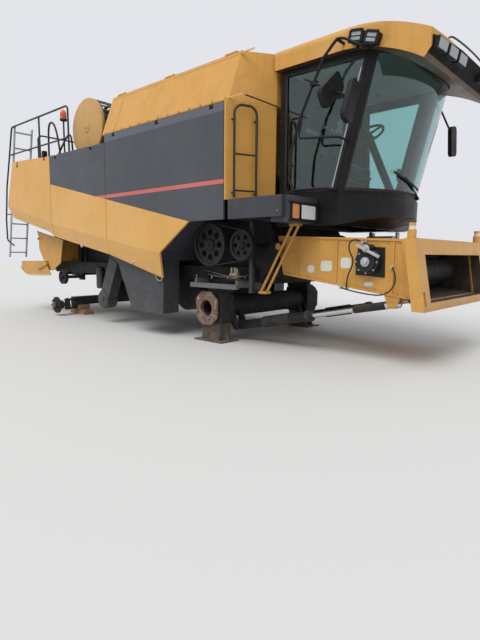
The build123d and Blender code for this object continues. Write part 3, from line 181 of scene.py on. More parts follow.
studio_floor()
studio_light()
bpy.context.scene.view_settings.view_transform = "Standard"
print("sun strength", SUN_STRENGTH, "over", SUN_SPREAD, "degrees; floor", 2 * FLOOR_HALF, "m wide")

# %% [markdown]
# Every outdoor finish here has the same story: a base coat, slow fading, streaks that rain draws downward,
# dust on what faces the sky, and small chips. Each could be painted by hand, but noise on Object coordinates
# gives all of them at a real size in metres, and it stays in place when a door opens.

# %% Weather: the masks
WORN_EDGE = 0.007  # metres from an edge within which paint wears


def blotches(tree, place, size, low, high, stretch=(1, 1, 1), detail=4.0):
    """Mask of soft patches of one real size, sharper as low and high come together."""
    scaled = add(tree, "ShaderNodeMapping", {0: place, 3: [s / size for s in stretch]})
    noise = add(tree, "ShaderNodeTexNoise", {"Vector": scaled.outputs[0], "Scale": 1.0, "Detail": detail,
                                             "Roughness": 0.6})
    return add(tree, "ShaderNodeMapRange", {0: noise.outputs[0], 1: low, 2: high}).outputs[0]


def coat(tree, below, above, mask, strength=1.0):
    """One colour over another, where a mask says so."""
    amount = add(tree, "ShaderNodeMath", {0: mask, 1: strength}, operation="MULTIPLY", use_clamp=True)
    layer = add(tree, "ShaderNodeMix", {0: amount.outputs[0]}, data_type="RGBA")
    for socket, value in ((layer.inputs[6], below), (layer.inputs[7], above)):
        if isinstance(value, bpy.types.NodeSocket):
            tree.links.new(value, socket)
        else:
            socket.default_value = linear(value)
    return layer.outputs[2]


def edges(tree, place):
    """Mask of outer edges, broken up so that wear comes and goes along them."""
    bevelled = add(tree, "ShaderNodeBevel", {"Radius": WORN_EDGE}, samples=4).outputs[0]
    flat = add(tree, "ShaderNodeNewGeometry").outputs["Normal"]
    match = add(tree, "ShaderNodeVectorMath", {0: bevelled, 1: flat},
                operation="DOT_PRODUCT").outputs["Value"]
    edge = add(tree, "ShaderNodeMapRange", {0: match, 1: 0.985, 2: 0.88}).outputs[0]
    return add(tree, "ShaderNodeMath", {0: edge, 1: blotches(tree, place, 0.045, 0.42, 0.6, detail=8.0)},
               operation="MULTIPLY").outputs[0]


print("masks for patches and edges are ready")

# %% [markdown]
# The layers now go on in the order in which they come to a real machine: the sun fades the paint, rain
# streaks it, dust settles, mud splashes the foot, rust breaks through and stones chip the edges. One function
# lays them all, and each finish only says how much of each it has. The grain of sprayed paint is 1 to 2 mm;
# it is drawn at 6 mm, because a finer one wouldn't show from where the camera stands.

# %% Weather: the layers
FADED_PATCH, STREAK, STAIN, DUST_PATCH, SPLASH, RUST_SPOT = 0.9, 0.07, 0.25, 0.12, 0.09, 0.06  # metres
SPRAY_GRAIN, DENT = 0.006, 0.35  # metres
MUD_TOP, MUD_FULL = 1.1, 0.2  # heights at which splashed mud begins and is at its thickest
DUST_COLOUR, MUD_COLOUR, RUST_COLOUR = "#8E8371", "#75695A", "#7A5238"


def weather(name, base, faded, dirt, gloss=0.42, grime=0.5, chips="#5A5148", chip_size=0.018, mud=0.6,
            metallic=0.0, bump=0.12, rust=0.0, shine=0.5):
    """Painted sheet with fading, rain streaks, settled dust, mud near the floor, worn edges and chips."""
    material, tree, shader, place = bare_material(name)
    colour = base(tree, place) if callable(base) else base
    faded = faded(tree, place) if callable(faded) else faded
    colour = coat(tree, colour, faded, blotches(tree, place, FADED_PATCH, 0.42, 0.72), 0.45)
    colour = coat(tree, colour, dirt, blotches(tree, place, STREAK, 0.5, 0.75, (1, 1, 0.08)), grime * 0.55)
    colour = coat(tree, colour, dirt, blotches(tree, place, STAIN, 0.5, 0.7, detail=8.0), grime * 0.5)
    facing = add(tree, "ShaderNodeSeparateXYZ", {0: add(tree, "ShaderNodeNewGeometry").outputs["Normal"]})
    upward = add(tree, "ShaderNodeMapRange", {0: facing.outputs[2], 1: 0.5, 2: 0.95}).outputs[0]
    dust = add(tree, "ShaderNodeMath", {0: upward, 1: blotches(tree, place, DUST_PATCH, 0.3, 0.65)},
               operation="MULTIPLY").outputs[0]
    colour = coat(tree, colour, DUST_COLOUR, dust, grime * 0.7)
    height = add(tree, "ShaderNodeSeparateXYZ", {0: place}).outputs[2]
    low = add(tree, "ShaderNodeMapRange", {0: height, 1: MUD_TOP, 2: MUD_FULL}).outputs[0]
    splash = add(tree, "ShaderNodeMath", {0: low, 1: blotches(tree, place, SPLASH, 0.35, 0.7)},
                 operation="MULTIPLY").outputs[0]
    colour = coat(tree, colour, MUD_COLOUR, splash, mud)
    if rust:
        colour = coat(tree, colour, RUST_COLOUR, blotches(tree, place, RUST_SPOT, 0.6, 0.72, detail=8.0),
                      rust)
    colour = coat(tree, colour, chips, edges(tree, place), 0.7)
    colour = coat(tree, colour, chips, blotches(tree, place, chip_size, 0.71, 0.73, detail=2.0), 0.8)
    tree.links.new(colour, shader.inputs["Base Color"])
    rough = add(tree, "ShaderNodeMapRange",
                {0: blotches(tree, place, 0.2, 0.3, 0.8), 3: gloss, 4: gloss + 0.25})
    tree.links.new(rough.outputs[0], shader.inputs["Roughness"])
    shader.inputs["Metallic"].default_value = metallic
    shader.inputs["Specular IOR Level"].default_value = shine
    grain = blotches(tree, place, SPRAY_GRAIN, 0.2, 0.8, detail=3.0)
    wave = blotches(tree, place, DENT, 0.2, 0.8, detail=1.0)
    dent = add(tree, "ShaderNodeBump", {"Strength": 0.35, "Distance": 0.012, "Height": wave})
    relief = add(tree, "ShaderNodeBump", {"Strength": bump, "Distance": 0.0015, "Height": grain,
                                          "Normal": dent.outputs[0]})
    tree.links.new(relief.outputs[0], shader.inputs["Normal"])
    return material


print("mud reaches", MUD_TOP, "m up")

# %% [markdown]
# Some pieces have two colours on one sheet. They could be cut in two, but a painter masks a sheet and sprays
# it twice, so these functions give a colour that changes where a line passes over the sheet. Two of them
# paint shade instead: a darker colour where a sheet turns to the ground, and where it faces a channel's
# inside.

# %% Paint that changes at a line
PANEL_FALL, PANEL_LINE = 0.216, 1.846  # dark grey is where height + PANEL_FALL * x is over PANEL_LINE
GREY_FROM = -2.110  # the dark grey ends here towards the rear
STRIPE_MIDDLE, STRIPE_HALF = 1.977, 0.024
HIGHLIGHT_FROM, HIGHLIGHT_FULL = 2.742, 2.748  # painted highlight: the grey turns pale from these heights up, on the top facet that leans in to the sky
CHANNEL_FALL, CHANNEL_MIDDLE = 0.080, 1.328  # the feeder channel's middle line falls towards the header
CHANNEL_HALF = 0.305  # the channel's inside ends this far from its middle line


def side(tree, place, axis, limit, wider=False):
    """Mask that is 1 where a coordinate passes a limit; wider leaves its sign out."""
    value = add(tree, "ShaderNodeSeparateXYZ", {0: place}).outputs[axis]
    if wider:
        value = add(tree, "ShaderNodeMath", {0: value}, operation="ABSOLUTE").outputs[0]
    return add(tree, "ShaderNodeMath", {0: value, 1: limit}, operation="GREATER_THAN").outputs[0]


def panel_tones(yellow, grey, stripe):
    """Yellow below and grey above a line that falls to the nose, a thin red stripe, and a painted top
    highlight.
    """
    def paint(tree, place):
        split = add(tree, "ShaderNodeSeparateXYZ", {0: place})
        x, z = split.outputs[0], split.outputs[2]
        line = add(tree, "ShaderNodeMath", {0: x, 1: PANEL_FALL, 2: z}, operation="MULTIPLY_ADD").outputs[0]
        above = add(tree, "ShaderNodeMath", {0: line, 1: PANEL_LINE}, operation="GREATER_THAN").outputs[0]
        dark = add(tree, "ShaderNodeMath", {0: above, 1: side(tree, place, 0, GREY_FROM)},
                   operation="MULTIPLY").outputs[0]
        band = add(tree, "ShaderNodeMath", {0: z, 1: STRIPE_MIDDLE, 2: STRIPE_HALF},
                   operation="COMPARE").outputs[0]
        band = add(tree, "ShaderNodeMath", {0: band, 1: dark}, operation="MULTIPLY").outputs[0]
        # painted highlight on the grey along the panels' top edge
        rim = add(tree, "ShaderNodeMapRange", {0: z, 1: HIGHLIGHT_FROM, 2: HIGHLIGHT_FULL}).outputs[0]
        return coat(tree, coat(tree, yellow, coat(tree, grey, "#5C616B", rim, 0.7), dark), stripe, band)
    return paint


def parted(axis, limit, here, beyond, wider=False):
    """Two colours that meet where a coordinate passes a limit; each may be parted again."""
    def paint(tree, place):
        before = here(tree, place) if callable(here) else here
        after = beyond(tree, place) if callable(beyond) else beyond
        return coat(tree, before, after, side(tree, place, axis, limit, wider))
    return paint


def shaded_inside(outside, inside):
    """A channel's colours: painted shade on the walls that face its middle line, the outside colour elsewhere.
    """
    def paint(tree, place):
        split = add(tree, "ShaderNodeSeparateXYZ", {0: place})
        fall = add(tree, "ShaderNodeMath", {0: split.outputs[0], 1: CHANNEL_FALL, 2: -CHANNEL_MIDDLE},
                   operation="MULTIPLY_ADD")
        rise = add(tree, "ShaderNodeMath", {0: split.outputs[2], 1: fall.outputs[0]}, operation="ADD")
        spoke = add(tree, "ShaderNodeCombineXYZ", {1: split.outputs[1], 2: rise.outputs[0]})
        facing = add(tree, "ShaderNodeVectorMath", {0: spoke.outputs[0],
                                                    1: add(tree, "ShaderNodeNewGeometry").outputs["Normal"]},
                     operation="DOT_PRODUCT").outputs["Value"]
        # painted shade: walls that face the channel's middle line take the dark colour
        inward = add(tree, "ShaderNodeMapRange", {0: facing, 1: -0.05, 2: -0.12}).outputs[0]
        within = add(tree, "ShaderNodeMath", {0: rise.outputs[0], 1: CHANNEL_HALF},
                     operation="LESS_THAN").outputs[0]
        return coat(tree, outside, inside, add(tree, "ShaderNodeMath", {0: inward, 1: within},
                                               operation="MULTIPLY").outputs[0])
    return paint


def shaded_underside(open_air, shaded):
    """Two colours that part where a sheet turns to face the ground: painted shade on a roof's underside."""
    def paint(tree, place):
        facing = add(tree, "ShaderNodeSeparateXYZ", {0: add(tree, "ShaderNodeNewGeometry").outputs["Normal"]})
        # painted shade: the colour turns dark where the sheet faces down
        below = add(tree, "ShaderNodeMapRange", {0: facing.outputs[2], 1: -0.35, 2: -0.55}).outputs[0]
        return coat(tree, open_air, shaded, below)
    return paint


print("yellow ends and grey begins at", round(PANEL_LINE - PANEL_FALL, 3), "m up, 1 m ahead of the origin")

# %% [markdown]
# The table of finishes comes next. Each could be a material of its own with its own tree, but most of a
# harvester is sprayed enamel over sheet steel, so they share the layers and differ in colour, gloss, dirt and
# wear. The comment over each one says what it gives the eye.

# %% Painted, plated and moulded finishes
finish = {
    # alkyd enamel on sheet steel, sprayed: a warm matt yellow with soft lights, brown where dirt has run
    "yellow_paint": weather("yellow_enamel", "#C8913F", "#D3A45C", "#80602F", gloss=0.32, grime=0.35,
                            mud=0.35),
    # the same enamel outside; painted shade darkens the walls that face the inside of the channel
    "feeder_paint": weather("feeder_enamel", shaded_inside("#C8913F", "#2B2723"), shaded_inside("#D3A45C", "#3A342C"),
                            "#80602F", gloss=0.32, grime=0.35, mud=0.3),
    # moulded roof skin: yellow above, and painted shade, dark brown, under its visor, where little light comes
    # back up
    "roof_paint": weather("roof_enamel", shaded_underside("#C8913F", "#4A3318"), shaded_underside("#D3A45C", "#5A4226"),
                          "#80602F", gloss=0.32, grime=0.35),
    # two enamels and a stripe on pressed panels: smoother and glossier than the rest, so the sky lies on them;
    # the grey has a painted highlight along the panels' top edge
    "panel_paint": weather("panel_enamel", panel_tones("#D39F52", "#3E4148", "#C4605A"),
                           panel_tones("#DDB070", "#4E525A", "#CB746E"), "#6E5F4A", gloss=0.30, grime=0.16,
                           chips="#6B645A"),
    # dark grey enamel: reads as black in the shade and as slate where it faces the sky
    "dark_paint": weather("dark_grey_enamel", "#303339", "#42464E", "#5C584F", gloss=0.4, grime=0.3, mud=0.3),
    # brushed chassis black over cast and welded steel: dull, lumpy and dusty, with rust coming through
    "chassis": weather("chassis_black", "#17181B", "#25262A", "#3E3A34", gloss=0.5, grime=0.55, bump=0.25,
                       rust=0.2, mud=0.22, chips="#3B3733", shine=0.3),
    # powder coat on tubes: even satin black with a narrow light along the tube
    "rail_paint": weather("rail_black", "#17181B", "#27292D", "#55514A", gloss=0.35, grime=0.25),
    # moulded ABS: deep black with a weak, wide light
    "black_plastic": weather("moulded_black", "#131416", "#202124", "#46433E", gloss=0.45, grime=0.25,
                             mud=0.25, chips="#2A2A2A", shine=0.25),
    # extruded rubber: the dullest black of all, greyed by dust
    "rubber": weather("black_rubber", "#121314", "#1F2022", "#4A4740", gloss=0.65, grime=0.3, mud=0.3,
                      chips="#1D1D1D"),
    # hand-brushed primer on welded plate: brown-grey and rough, with much rust
    "stand_paint": weather("stand_paint", "#3A3835", "#4D4A44", "#6B5C48", gloss=0.6, grime=0.8,
                           chips="#6B4630", rust=0.7),
    # hot-dip galvanised steel: pale grey, part metal and part oxide
    "ladder_steel": weather("galvanised_steel", "#A3A7AA", "#B9BCBE", "#77736A", gloss=0.4, grime=0.35,
                            metallic=0.35),
    # zinc-plated fasteners: small bright points
    "bright_steel": weather("bright_zinc", "#B9BCBE", "#CFD1D2", "#7A7368", gloss=0.3, grime=0.25,
                            metallic=0.85),
    # the same plating gone dull on pipes that sit in oil and dust
    "pipe_zinc": weather("dull_zinc_pipe", "#6D6F70", "#828485", "#4C483F", gloss=0.4, grime=0.5, mud=0.3,
                         metallic=0.7),
    # off-white enamel of the bare plates: the palest spots on the machine
    "pale_plate": weather("pale_plate", "#D5D2C6", "#C4C0B2", "#8A8474", gloss=0.4, grime=0.3),
    # yellow-passivated block and hooks: a dull, greenish brass colour
    "brass": weather("dull_brass", "#A3977C", "#B8AD94", "#5E5040", gloss=0.35, grime=0.4, mud=0.3,
                     metallic=0.6),
    # flat bars that carry three enamels along their length: grey, black and yellow
    "strut_paint": weather("strut_enamel", parted(0, 1.95, "#5B5E62", parted(0, 2.13, "#25272B", "#BF8B3D")),
                           parted(0, 1.95, "#6C6F73", parted(0, 2.13, "#34363B", "#CFA05C")), "#57503F",
                           grime=0.6, rust=0.3, mud=0.3),
    # perforated drum: yellowed enamel on its face, and painted shade, dark brown, on the round behind it
    "screen_paint": weather("screen_enamel", parted(1, -1.262, "#BD9254", "#3B342B"),
                            parted(1, -1.262, "#C9A36C", "#4A4238"), "#7A6548", grime=0.35),
    # moulded acrylic dome over a black foot: a clean orange that shows from far off
    "beacon_lens": weather("beacon_amber", parted(2, 3.368, "#1E1F22", "#DE5F2B"),
                           parted(2, 3.368, "#33353A", "#E88052"), "#8A5A40", gloss=0.25, grime=0.2),
    # satin black enamel of the cab's frame: darker and cleaner than the chassis
    "cab_black": weather("cab_black_enamel", "#101012", "#1B1B1E", "#33312D", gloss=0.32, grime=0.2, mud=0.15,
                         shine=0.22),
    # black enamel on honed tube: smooth, with one long light along the barrel
    "cylinder_black": weather("cylinder_enamel", "#121315", "#1F2023", "#302D28", gloss=0.3, grime=0.3,
                              mud=0.08, shine=0.3),
    # forged hubs that have stood bare: dark brown rust without any shine
    "axle_rust": weather("rusted_hub", "#4A3A30", "#5F4A3D", "#2E2620", gloss=0.7, grime=0.6, rust=0.9,
                         bump=0.5),
    # thin steel sheet that exhaust heat has browned
    "burnt_steel": weather("burnt_steel", "#5B4A40", "#75604F", "#3A302A", gloss=0.65, grime=0.6, rust=0.9,
                           mud=0.0, metallic=0.3),
    # moulded acrylic, red and orange: hard small lights on a saturated colour
    "red_lens": weather("red_moulded_lens", "#A3201F", "#B93A33", "#6E3A34", gloss=0.12, grime=0.2,
                        chips="#7A2A28"),
    "lamp_amber": weather("orange_moulded_lens", "#D97A25", "#E39548", "#8A5A40", gloss=0.12, grime=0.2,
                          chips="#9A5A30"),
    # flat glass over a dark display: almost black, with a clear reflection
    "display": weather("display_glass", "#0E1114", "#161A1E", "#3A3832", gloss=0.10, grime=0.15,
                       chips="#1A1C1E", bump=0.0),
    # moulded lamp glass: white head lamps, orange at the ledge's outer ends, grey work lamps on the roof
    "lamp_glass": weather("moulded_lens", parted(2, 2.9, parted(1, 1.25, "#D5D7D5", "#D3813A", wider=True),
                                                 "#989DA0"),
                          parted(2, 2.9, parted(1, 1.25, "#E6E7E5", "#DE9C5C", wider=True), "#AEB2B4"),
                          "#7E7B73", gloss=0.12, grime=0.25, chips="#A5A29A", bump=0.4),
}
print("painted finishes:", sorted(finish))

# %% [markdown]
# The axle's open flanges are bare cast iron that has rusted. A photograph of rust could be wrapped on, but
# rust is noise at three sizes: broad tone, scale the size of a fingernail, and pits that catch the light.
# Inboard of the flanges the axle still has its black paint.

# %% Rusted iron
PAINTED_TO, RUSTED_FROM = 1.118, 1.138  # metres from the middle plane


def rusted_iron():
    """Bare cast iron: matt browns with pale worn scale, and black paint inboard of the flanges."""
    material, tree, shader, place = bare_material("rusted_iron")
    colour = coat(tree, "#5B463A", "#80685A", blotches(tree, place, 0.12, 0.35, 0.65, detail=8.0))
    colour = coat(tree, colour, "#AC9484", blotches(tree, place, 0.05, 0.52, 0.7, detail=6.0), 0.85)
    colour = coat(tree, colour, "#33261F", blotches(tree, place, 0.018, 0.55, 0.62, detail=6.0), 0.7)
    across = add(tree, "ShaderNodeSeparateXYZ", {0: place}).outputs[1]
    reach = add(tree, "ShaderNodeMath", {0: across}, operation="ABSOLUTE").outputs[0]
    painted = add(tree, "ShaderNodeMapRange", {0: reach, 1: RUSTED_FROM, 2: PAINTED_TO}).outputs[0]
    paint = coat(tree, "#17181A", "#45403A", blotches(tree, place, 0.1, 0.4, 0.75, detail=8.0), 0.6)
    tree.links.new(coat(tree, colour, paint, painted), shader.inputs["Base Color"])
    shader.inputs["Roughness"].default_value = 0.8
    pits = blotches(tree, place, 0.012, 0.3, 0.7, detail=8.0)
    relief = add(tree, "ShaderNodeBump", {"Strength": 0.7, "Distance": 0.004, "Height": pits})
    tree.links.new(relief.outputs[0], shader.inputs["Normal"])
    return material


finish["axle_iron"] = rusted_iron()
print("rust begins", RUSTED_FROM, "m from the middle")

# %% [markdown]
# A cylinder rod is hard chrome, ground and polished, and a mirror is glass silvered behind. Both are metal to
# the eye, so both keep the metal's own index and only vary in roughness: oil smears run along the rod's
# stroke, and a film of dust dulls the mirror in patches. A layered glass over silver would cost light paths
# and look the same.

# %% Hard chrome and silvered glass
def polished(name, clean, filmed, film, strength, smoothest, roughest):
    """Polished metal under a film: its colours, a mask, the film's strength, the range of roughness."""
    material, tree, shader, place = bare_material(name)
    mask = film(tree, place)
    tree.links.new(coat(tree, clean, filmed, mask, strength), shader.inputs["Base Color"])
    shader.inputs["Metallic"].default_value = 1.0
    rough = add(tree, "ShaderNodeMapRange", {0: mask, 3: smoothest, 4: roughest})
    tree.links.new(rough.outputs[0], shader.inputs["Roughness"])
    return material


# hard chrome: a bright rod with long soft smears
finish["rod_chrome"] = polished("hard_chrome", "#D5D7DA", "#A9ABAD", lambda tree, place: blotches(
    tree, place, 0.04, 0.35, 0.9, (0.15, 1.0, 1.0)), 0.5, 0.14, 0.38)
# silvered glass: a sharp, slightly dusty picture of the sky
finish["mirror_glass"] = polished("silvered_glass", "#C9CDD0", "#A8A79F", lambda tree, place: blotches(
    tree, place, 0.08, 0.45, 0.8, detail=6.0), 0.6, 0.03, 0.30)
print("polished finishes:", finish["rod_chrome"].name, finish["mirror_glass"].name)

# %% [markdown]
# The rear of the machine rests on sawn softwood baulks that have greyed outdoors. Rings could be modelled,
# but at this distance wood is its grain: noise drawn out along the baulk, 20 mm wide, so coarser than the
# real 3 mm rings, which would not show.

# %% Sawn softwood
def timber():
    """Sawn softwood baulks: dry brown, grey in patches, with dark grain along their length."""
    material, tree, shader, place = bare_material("sawn_softwood")
    grain = blotches(tree, place, 0.02, 0.35, 0.65, (0.08, 0.08, 1.0), 6.0)
    colour = coat(tree, "#A98A63", "#6E5639", grain, 0.7)
    colour = coat(tree, colour, "#5B5348", blotches(tree, place, 0.2, 0.5, 0.7), 0.5)
    tree.links.new(colour, shader.inputs["Base Color"])
    shader.inputs["Roughness"].default_value = 0.85
    relief = add(tree, "ShaderNodeBump", {"Strength": 0.5, "Distance": 0.002, "Height": grain})
    tree.links.new(relief.outputs[0], shader.inputs["Normal"])
    return material


finish["timber"] = timber()
print("wood:", finish["timber"].name)

# %% [markdown]
# Cab windows are laminated safety glass with a green-blue tint. The tint could be a volume, but the panes are
# thin sheets, so the colour of the transmitted light does it, with a film of dust that roughens the glass in
# patches. The index is a little above window glass, as the coated panes throw back more of the sky.

# %% Tinted glass
def tinted_glass():
    """Laminated cab glass: a cool green-blue see-through tint under a faint film of dust."""
    material, tree, shader, place = bare_material("tinted_glass")
    film = blotches(tree, place, 0.3, 0.5, 0.8, detail=6.0)
    tree.links.new(coat(tree, "#B9DEDD", "#B4C6C6", film, 0.4), shader.inputs["Base Color"])
    rough = add(tree, "ShaderNodeMapRange", {0: film, 3: 0.01, 4: 0.09})
    tree.links.new(rough.outputs[0], shader.inputs["Roughness"])
    shader.inputs["Transmission Weight"].default_value = 1.0
    shader.inputs["IOR"].default_value = 1.62
    return material


finish["window_glass"] = tinted_glass()
print("glass:", finish["window_glass"].name)

# %% [markdown]
# Inside the cab are two soft finishes. The seat has a woven cover: two sets of threads that cross, which two
# wave textures give when one is multiplied by the other. The lining is pressed felt, which is noise without
# direction. Both scatter light off their fibres, so both have some sheen.

# %% Seat cloth and felt
THREADS = 150.0  # wave scale: threads 2 mm apart, because the real 1 mm ones are too fine to show
FIBRES = 0.003  # metres: felt drawn 3 mm wide, coarser than real fibres for the same reason


def cloth():
    """Woven seat cover: dark grey threads that cross, dusty where people sit."""
    material, tree, shader, place = bare_material("woven_seat_cloth")
    waves = []
    for direction in ("X", "Z"):
        wave = add(tree, "ShaderNodeTexWave", {"Vector": place, "Scale": THREADS, "Distortion": 0.6},
                   bands_direction=direction)
        waves.append(wave.outputs[1])
    weave = add(tree, "ShaderNodeMath", {0: waves[0], 1: waves[1]}, operation="MULTIPLY").outputs[0]
    colour = coat(tree, "#2E3033", "#4B4A46", weave, 0.8)
    colour = coat(tree, colour, "#6B6254", blotches(tree, place, 0.15, 0.5, 0.75), 0.4)
    tree.links.new(colour, shader.inputs["Base Color"])
    shader.inputs["Roughness"].default_value = 0.9
    shader.inputs["Sheen Weight"].default_value = 0.3
    relief = add(tree, "ShaderNodeBump", {"Strength": 0.4, "Distance": 0.002, "Height": weave})
    tree.links.new(relief.outputs[0], shader.inputs["Normal"])
    return material


def felt():
    """Pressed felt of the roof lining: pale matted fibres without any shine."""
    material, tree, shader, place = bare_material("pressed_felt")
    fibres = blotches(tree, place, FIBRES, 0.3, 0.7, detail=6.0)
    colour = coat(tree, "#8B877D", "#A29E94", fibres, 0.7)
    colour = coat(tree, colour, "#6E685C", blotches(tree, place, 0.3, 0.5, 0.8), 0.5)
    tree.links.new(colour, shader.inputs["Base Color"])
    shader.inputs["Roughness"].default_value = 0.95
    shader.inputs["Sheen Weight"].default_value = 0.25
    relief = add(tree, "ShaderNodeBump", {"Strength": 0.4, "Distance": 0.0008, "Height": fibres})
    tree.links.new(relief.outputs[0], shader.inputs["Normal"])
    return material


finish["seat_cloth"] = cloth()
finish["felt"] = felt()
print("finishes in all:", len(finish))

# %% [markdown]
# Each solid now gets its finish. The names of the solids say what they are, so one short table does it.

# %% Finishes on the solids
worn = {
    "feeder_paint": ["feeder_house", "header_frame"],
    "yellow_paint": ["grain_tank", "tank_lid_right", "tank_lid_left", "front_walls", "chopper", "deflector",
                     "unloading_auger", "auger_base"],
    "roof_paint": ["cab_roof"],
    "panel_paint": ["side_panel_right_front", "side_panel_right_middle", "side_panel_right_rear",
                    "side_panel_left_front", "side_panel_left_middle", "side_panel_left_rear"],
    "dark_paint": ["side_shelves", "wheel_arches", "elevators"],
    "cab_black": ["cab_base", "cab_frame", "cab_door"],
    "chassis": ["threshing_body", "cleaning_shoe", "main_frame", "rear_axle", "knuckle_right", "knuckle_left",
                "hub_right", "hub_left", "hood_frame", "engine", "screen_housing", "right_drive",
                "left_drive", "feeder_chain", "feeder_gearbox"],
    "cylinder_black": ["lift_barrel_right", "lift_barrel_left"],
    "rail_paint": ["deck_rails", "handrails"],
    "black_plastic": ["mirror_arms", "lamp_bar", "steering_column"],
    "stand_paint": ["front_stands"],
    "ladder_steel": ["rear_ladder", "boarding_ladder"],
    "strut_paint": ["strut_bars"],
    "screen_paint": ["rotary_screen"],
    "beacon_lens": ["beacon"],
    "lamp_glass": ["lamp_lenses"],
    "axle_iron": ["front_axle"],
    "rod_chrome": ["lift_rod_right", "lift_rod_left"],
    "timber": ["rear_timbers"],
    "window_glass": ["cab_glass", "door_glass"],
    "seat_cloth": ["seat"],
}
for key, names in worn.items():
    for name in names:
        nodes[name].data.materials.clear()
        nodes[name].data.materials.append(finish[key])
left_plain = sorted(set(nodes) - {name for names in worn.values() for name in names})
print("solids left plain:", left_plain)

# %% [markdown]
# The pieces that follow are too fine for the solids. Most are sheet, turned or bent forms, so four small
# builders draw them all into one mesh: a brick with rounded edges, a plate from its outline, a spool turned
# about a line, and a beam between two points. Each could be a modifier stack instead, but a mesh in code
# stays editable by its numbers. Places along the machine are measured from the front axle, as on a workshop
# drawing.

# %% Builders for solid forms
AX = 1.35  # place of the front axle along the machine
SIDES = (("right", -1), ("left", 1))  # each side's name, and the sign of Y there


def placed(points):
    """Points in the machine's frame, from points whose X is measured from the front axle."""
    return [(AX + x, y, z) for x, y, z in points]


def four_edges(u1, u2, v1, v2):
    """The four edges of a rectangle, each as its two ends."""
    return (((u1, v1), (u2, v1)), ((u2, v1), (u2, v2)), ((u2, v2), (u1, v2)), ((u1, v2), (u1, v1)))


def mesh_piece(name, shape, look, body="chassis"):
    """Close a mesh under construction, shade it and let it ride on a body."""
    bmesh.ops.recalc_face_normals(shape, faces=shape.faces)
    mesh = bpy.data.meshes.new(name)
    shape.to_mesh(mesh)
    shape.free()
    mesh.shade_smooth()
    mesh.set_sharp_from_angle(angle=math.radians(32))
    mesh.materials.append(finish[look])
    made = new_object(name, mesh)
    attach(made, body)
    return made


def brick(shape, low, high, rounding=0.004):
    """Add a box with rounded edges between two corners."""
    verts = bmesh.ops.create_cube(shape, size=1.0)["verts"]
    for vert in verts:
        vert.co = Vector([(a + b) / 2 + (b - a) * c for a, b, c in zip(low, high, vert.co)])
    sides = list({edge for vert in verts for edge in vert.link_edges})
    bmesh.ops.bevel(shape, geom=sides, offset=rounding, segments=2, affect="EDGES", profile=0.5)


def plate(shape, outline, offset):
    """Add a flat plate from its outline, as thick as an offset."""
    near = [shape.verts.new(Vector(point)) for point in outline]
    far = [shape.verts.new(vert.co + Vector(offset)) for vert in near]
    shape.faces.new(near)
    shape.faces.new(far)
    for i in range(len(near)):
        shape.faces.new((near[i - 1], near[i], far[i], far[i - 1]))


def spool(shape, start, end, profile, sides=28):
    """Add a turned form; its profile is pairs of a share of the way and the radius there."""
    start, end = Vector(start), Vector(end)
    turn = (end - start).to_track_quat("Z", "Y")
    rings = []
    for share, radius in profile:
        ring = []
        for i in range(sides):
            angle = math.tau * i / sides
            spoke = turn @ Vector((radius * math.cos(angle), radius * math.sin(angle), 0))
            ring.append(shape.verts.new(start.lerp(end, share) + spoke))
        rings.append(ring)
    for ring, following in zip(rings, rings[1:]):
        for i in range(sides):
            shape.faces.new((ring[i - 1], ring[i], following[i], following[i - 1]))
    shape.faces.new(rings[0])
    shape.faces.new(rings[-1])


def beam(shape, start, end, width, height, up=(0, 0, 1), rounding=0.002):
    """Add a straight bar between two points, its width across and its height along up."""
    start, end = Vector(start), Vector(end)
    along = (end - start).normalized()
    across = along.cross(Vector(up)).normalized() * width / 2
    rise = across.cross(along).normalized() * height / 2
    corners = []
    for point in (start, end):
        corners.append([shape.verts.new(point + a * across + b * rise)
                        for a, b in ((-1, -1), (1, -1), (1, 1), (-1, 1))])
    faces = [shape.faces.new(corners[0]), shape.faces.new(corners[1])]
    for i in range(4):
        faces.append(shape.faces.new((corners[0][i - 1], corners[0][i], corners[1][i], corners[1][i - 1])))
    sides = list({edge for face in faces for edge in face.edges})
    bmesh.ops.bevel(shape, geom=sides, offset=rounding, segments=1, affect="EDGES")


def mirrored(shape):
    """Add the mirror image of everything so far on the machine's other side."""
    copy = bmesh.ops.duplicate(shape, geom=shape.verts[:] + shape.edges[:] + shape.faces[:])["geom"]
    verts = [item for item in copy if isinstance(item, bmesh.types.BMVert)]
    bmesh.ops.scale(shape, verts=verts, vec=(1, -1, 1))
    bmesh.ops.reverse_faces(shape, faces=[item for item in copy if isinstance(item, bmesh.types.BMFace)])


# %% [markdown]
# Pipes, hoses and hand rails are bent tubes. A chain of straight cylinders would show its joints, so each
# tube is a smooth curve with a round section, and its length is measured along its middle line. Plates and
# lenses often have rounded corners, which one more helper draws as points.

# %% Builders for tubes and rounded outlines
def bent_tube(name, points, radius, look, body="chassis"):
    """Smooth tube whose control points are the given ones."""
    data = bpy.data.curves.new(name, "CURVE")
    data.dimensions = "3D"
    spline = data.splines.new("NURBS")
    spline.points.add(len(points) - 1)
    for control, point in zip(spline.points, points):
        control.co = (*point, 1.0)
    spline.order_u = 3
    spline.use_endpoint_u = True
    data.bevel_depth = radius
    data.bevel_resolution = 3
    data.use_fill_caps = True
    data.materials.append(finish[look])
    made = new_object(name, data)
    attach(made, body)
    return made


def as_mesh(made):
    """Plain mesh of an object as its modifiers leave it."""
    return bpy.data.meshes.new_from_object(made.evaluated_get(bpy.context.evaluated_depsgraph_get()))


def run_length(tube):
    """Length of a tube's middle line."""
    bare = new_object("middle_line", tube.data.copy())
    bare.data.bevel_depth = 0.0
    line = as_mesh(bare)
    bpy.data.objects.remove(bare)
    ends = [[line.vertices[i].co for i in edge.vertices] for edge in line.edges]
    return sum((a - b).length for a, b in ends)


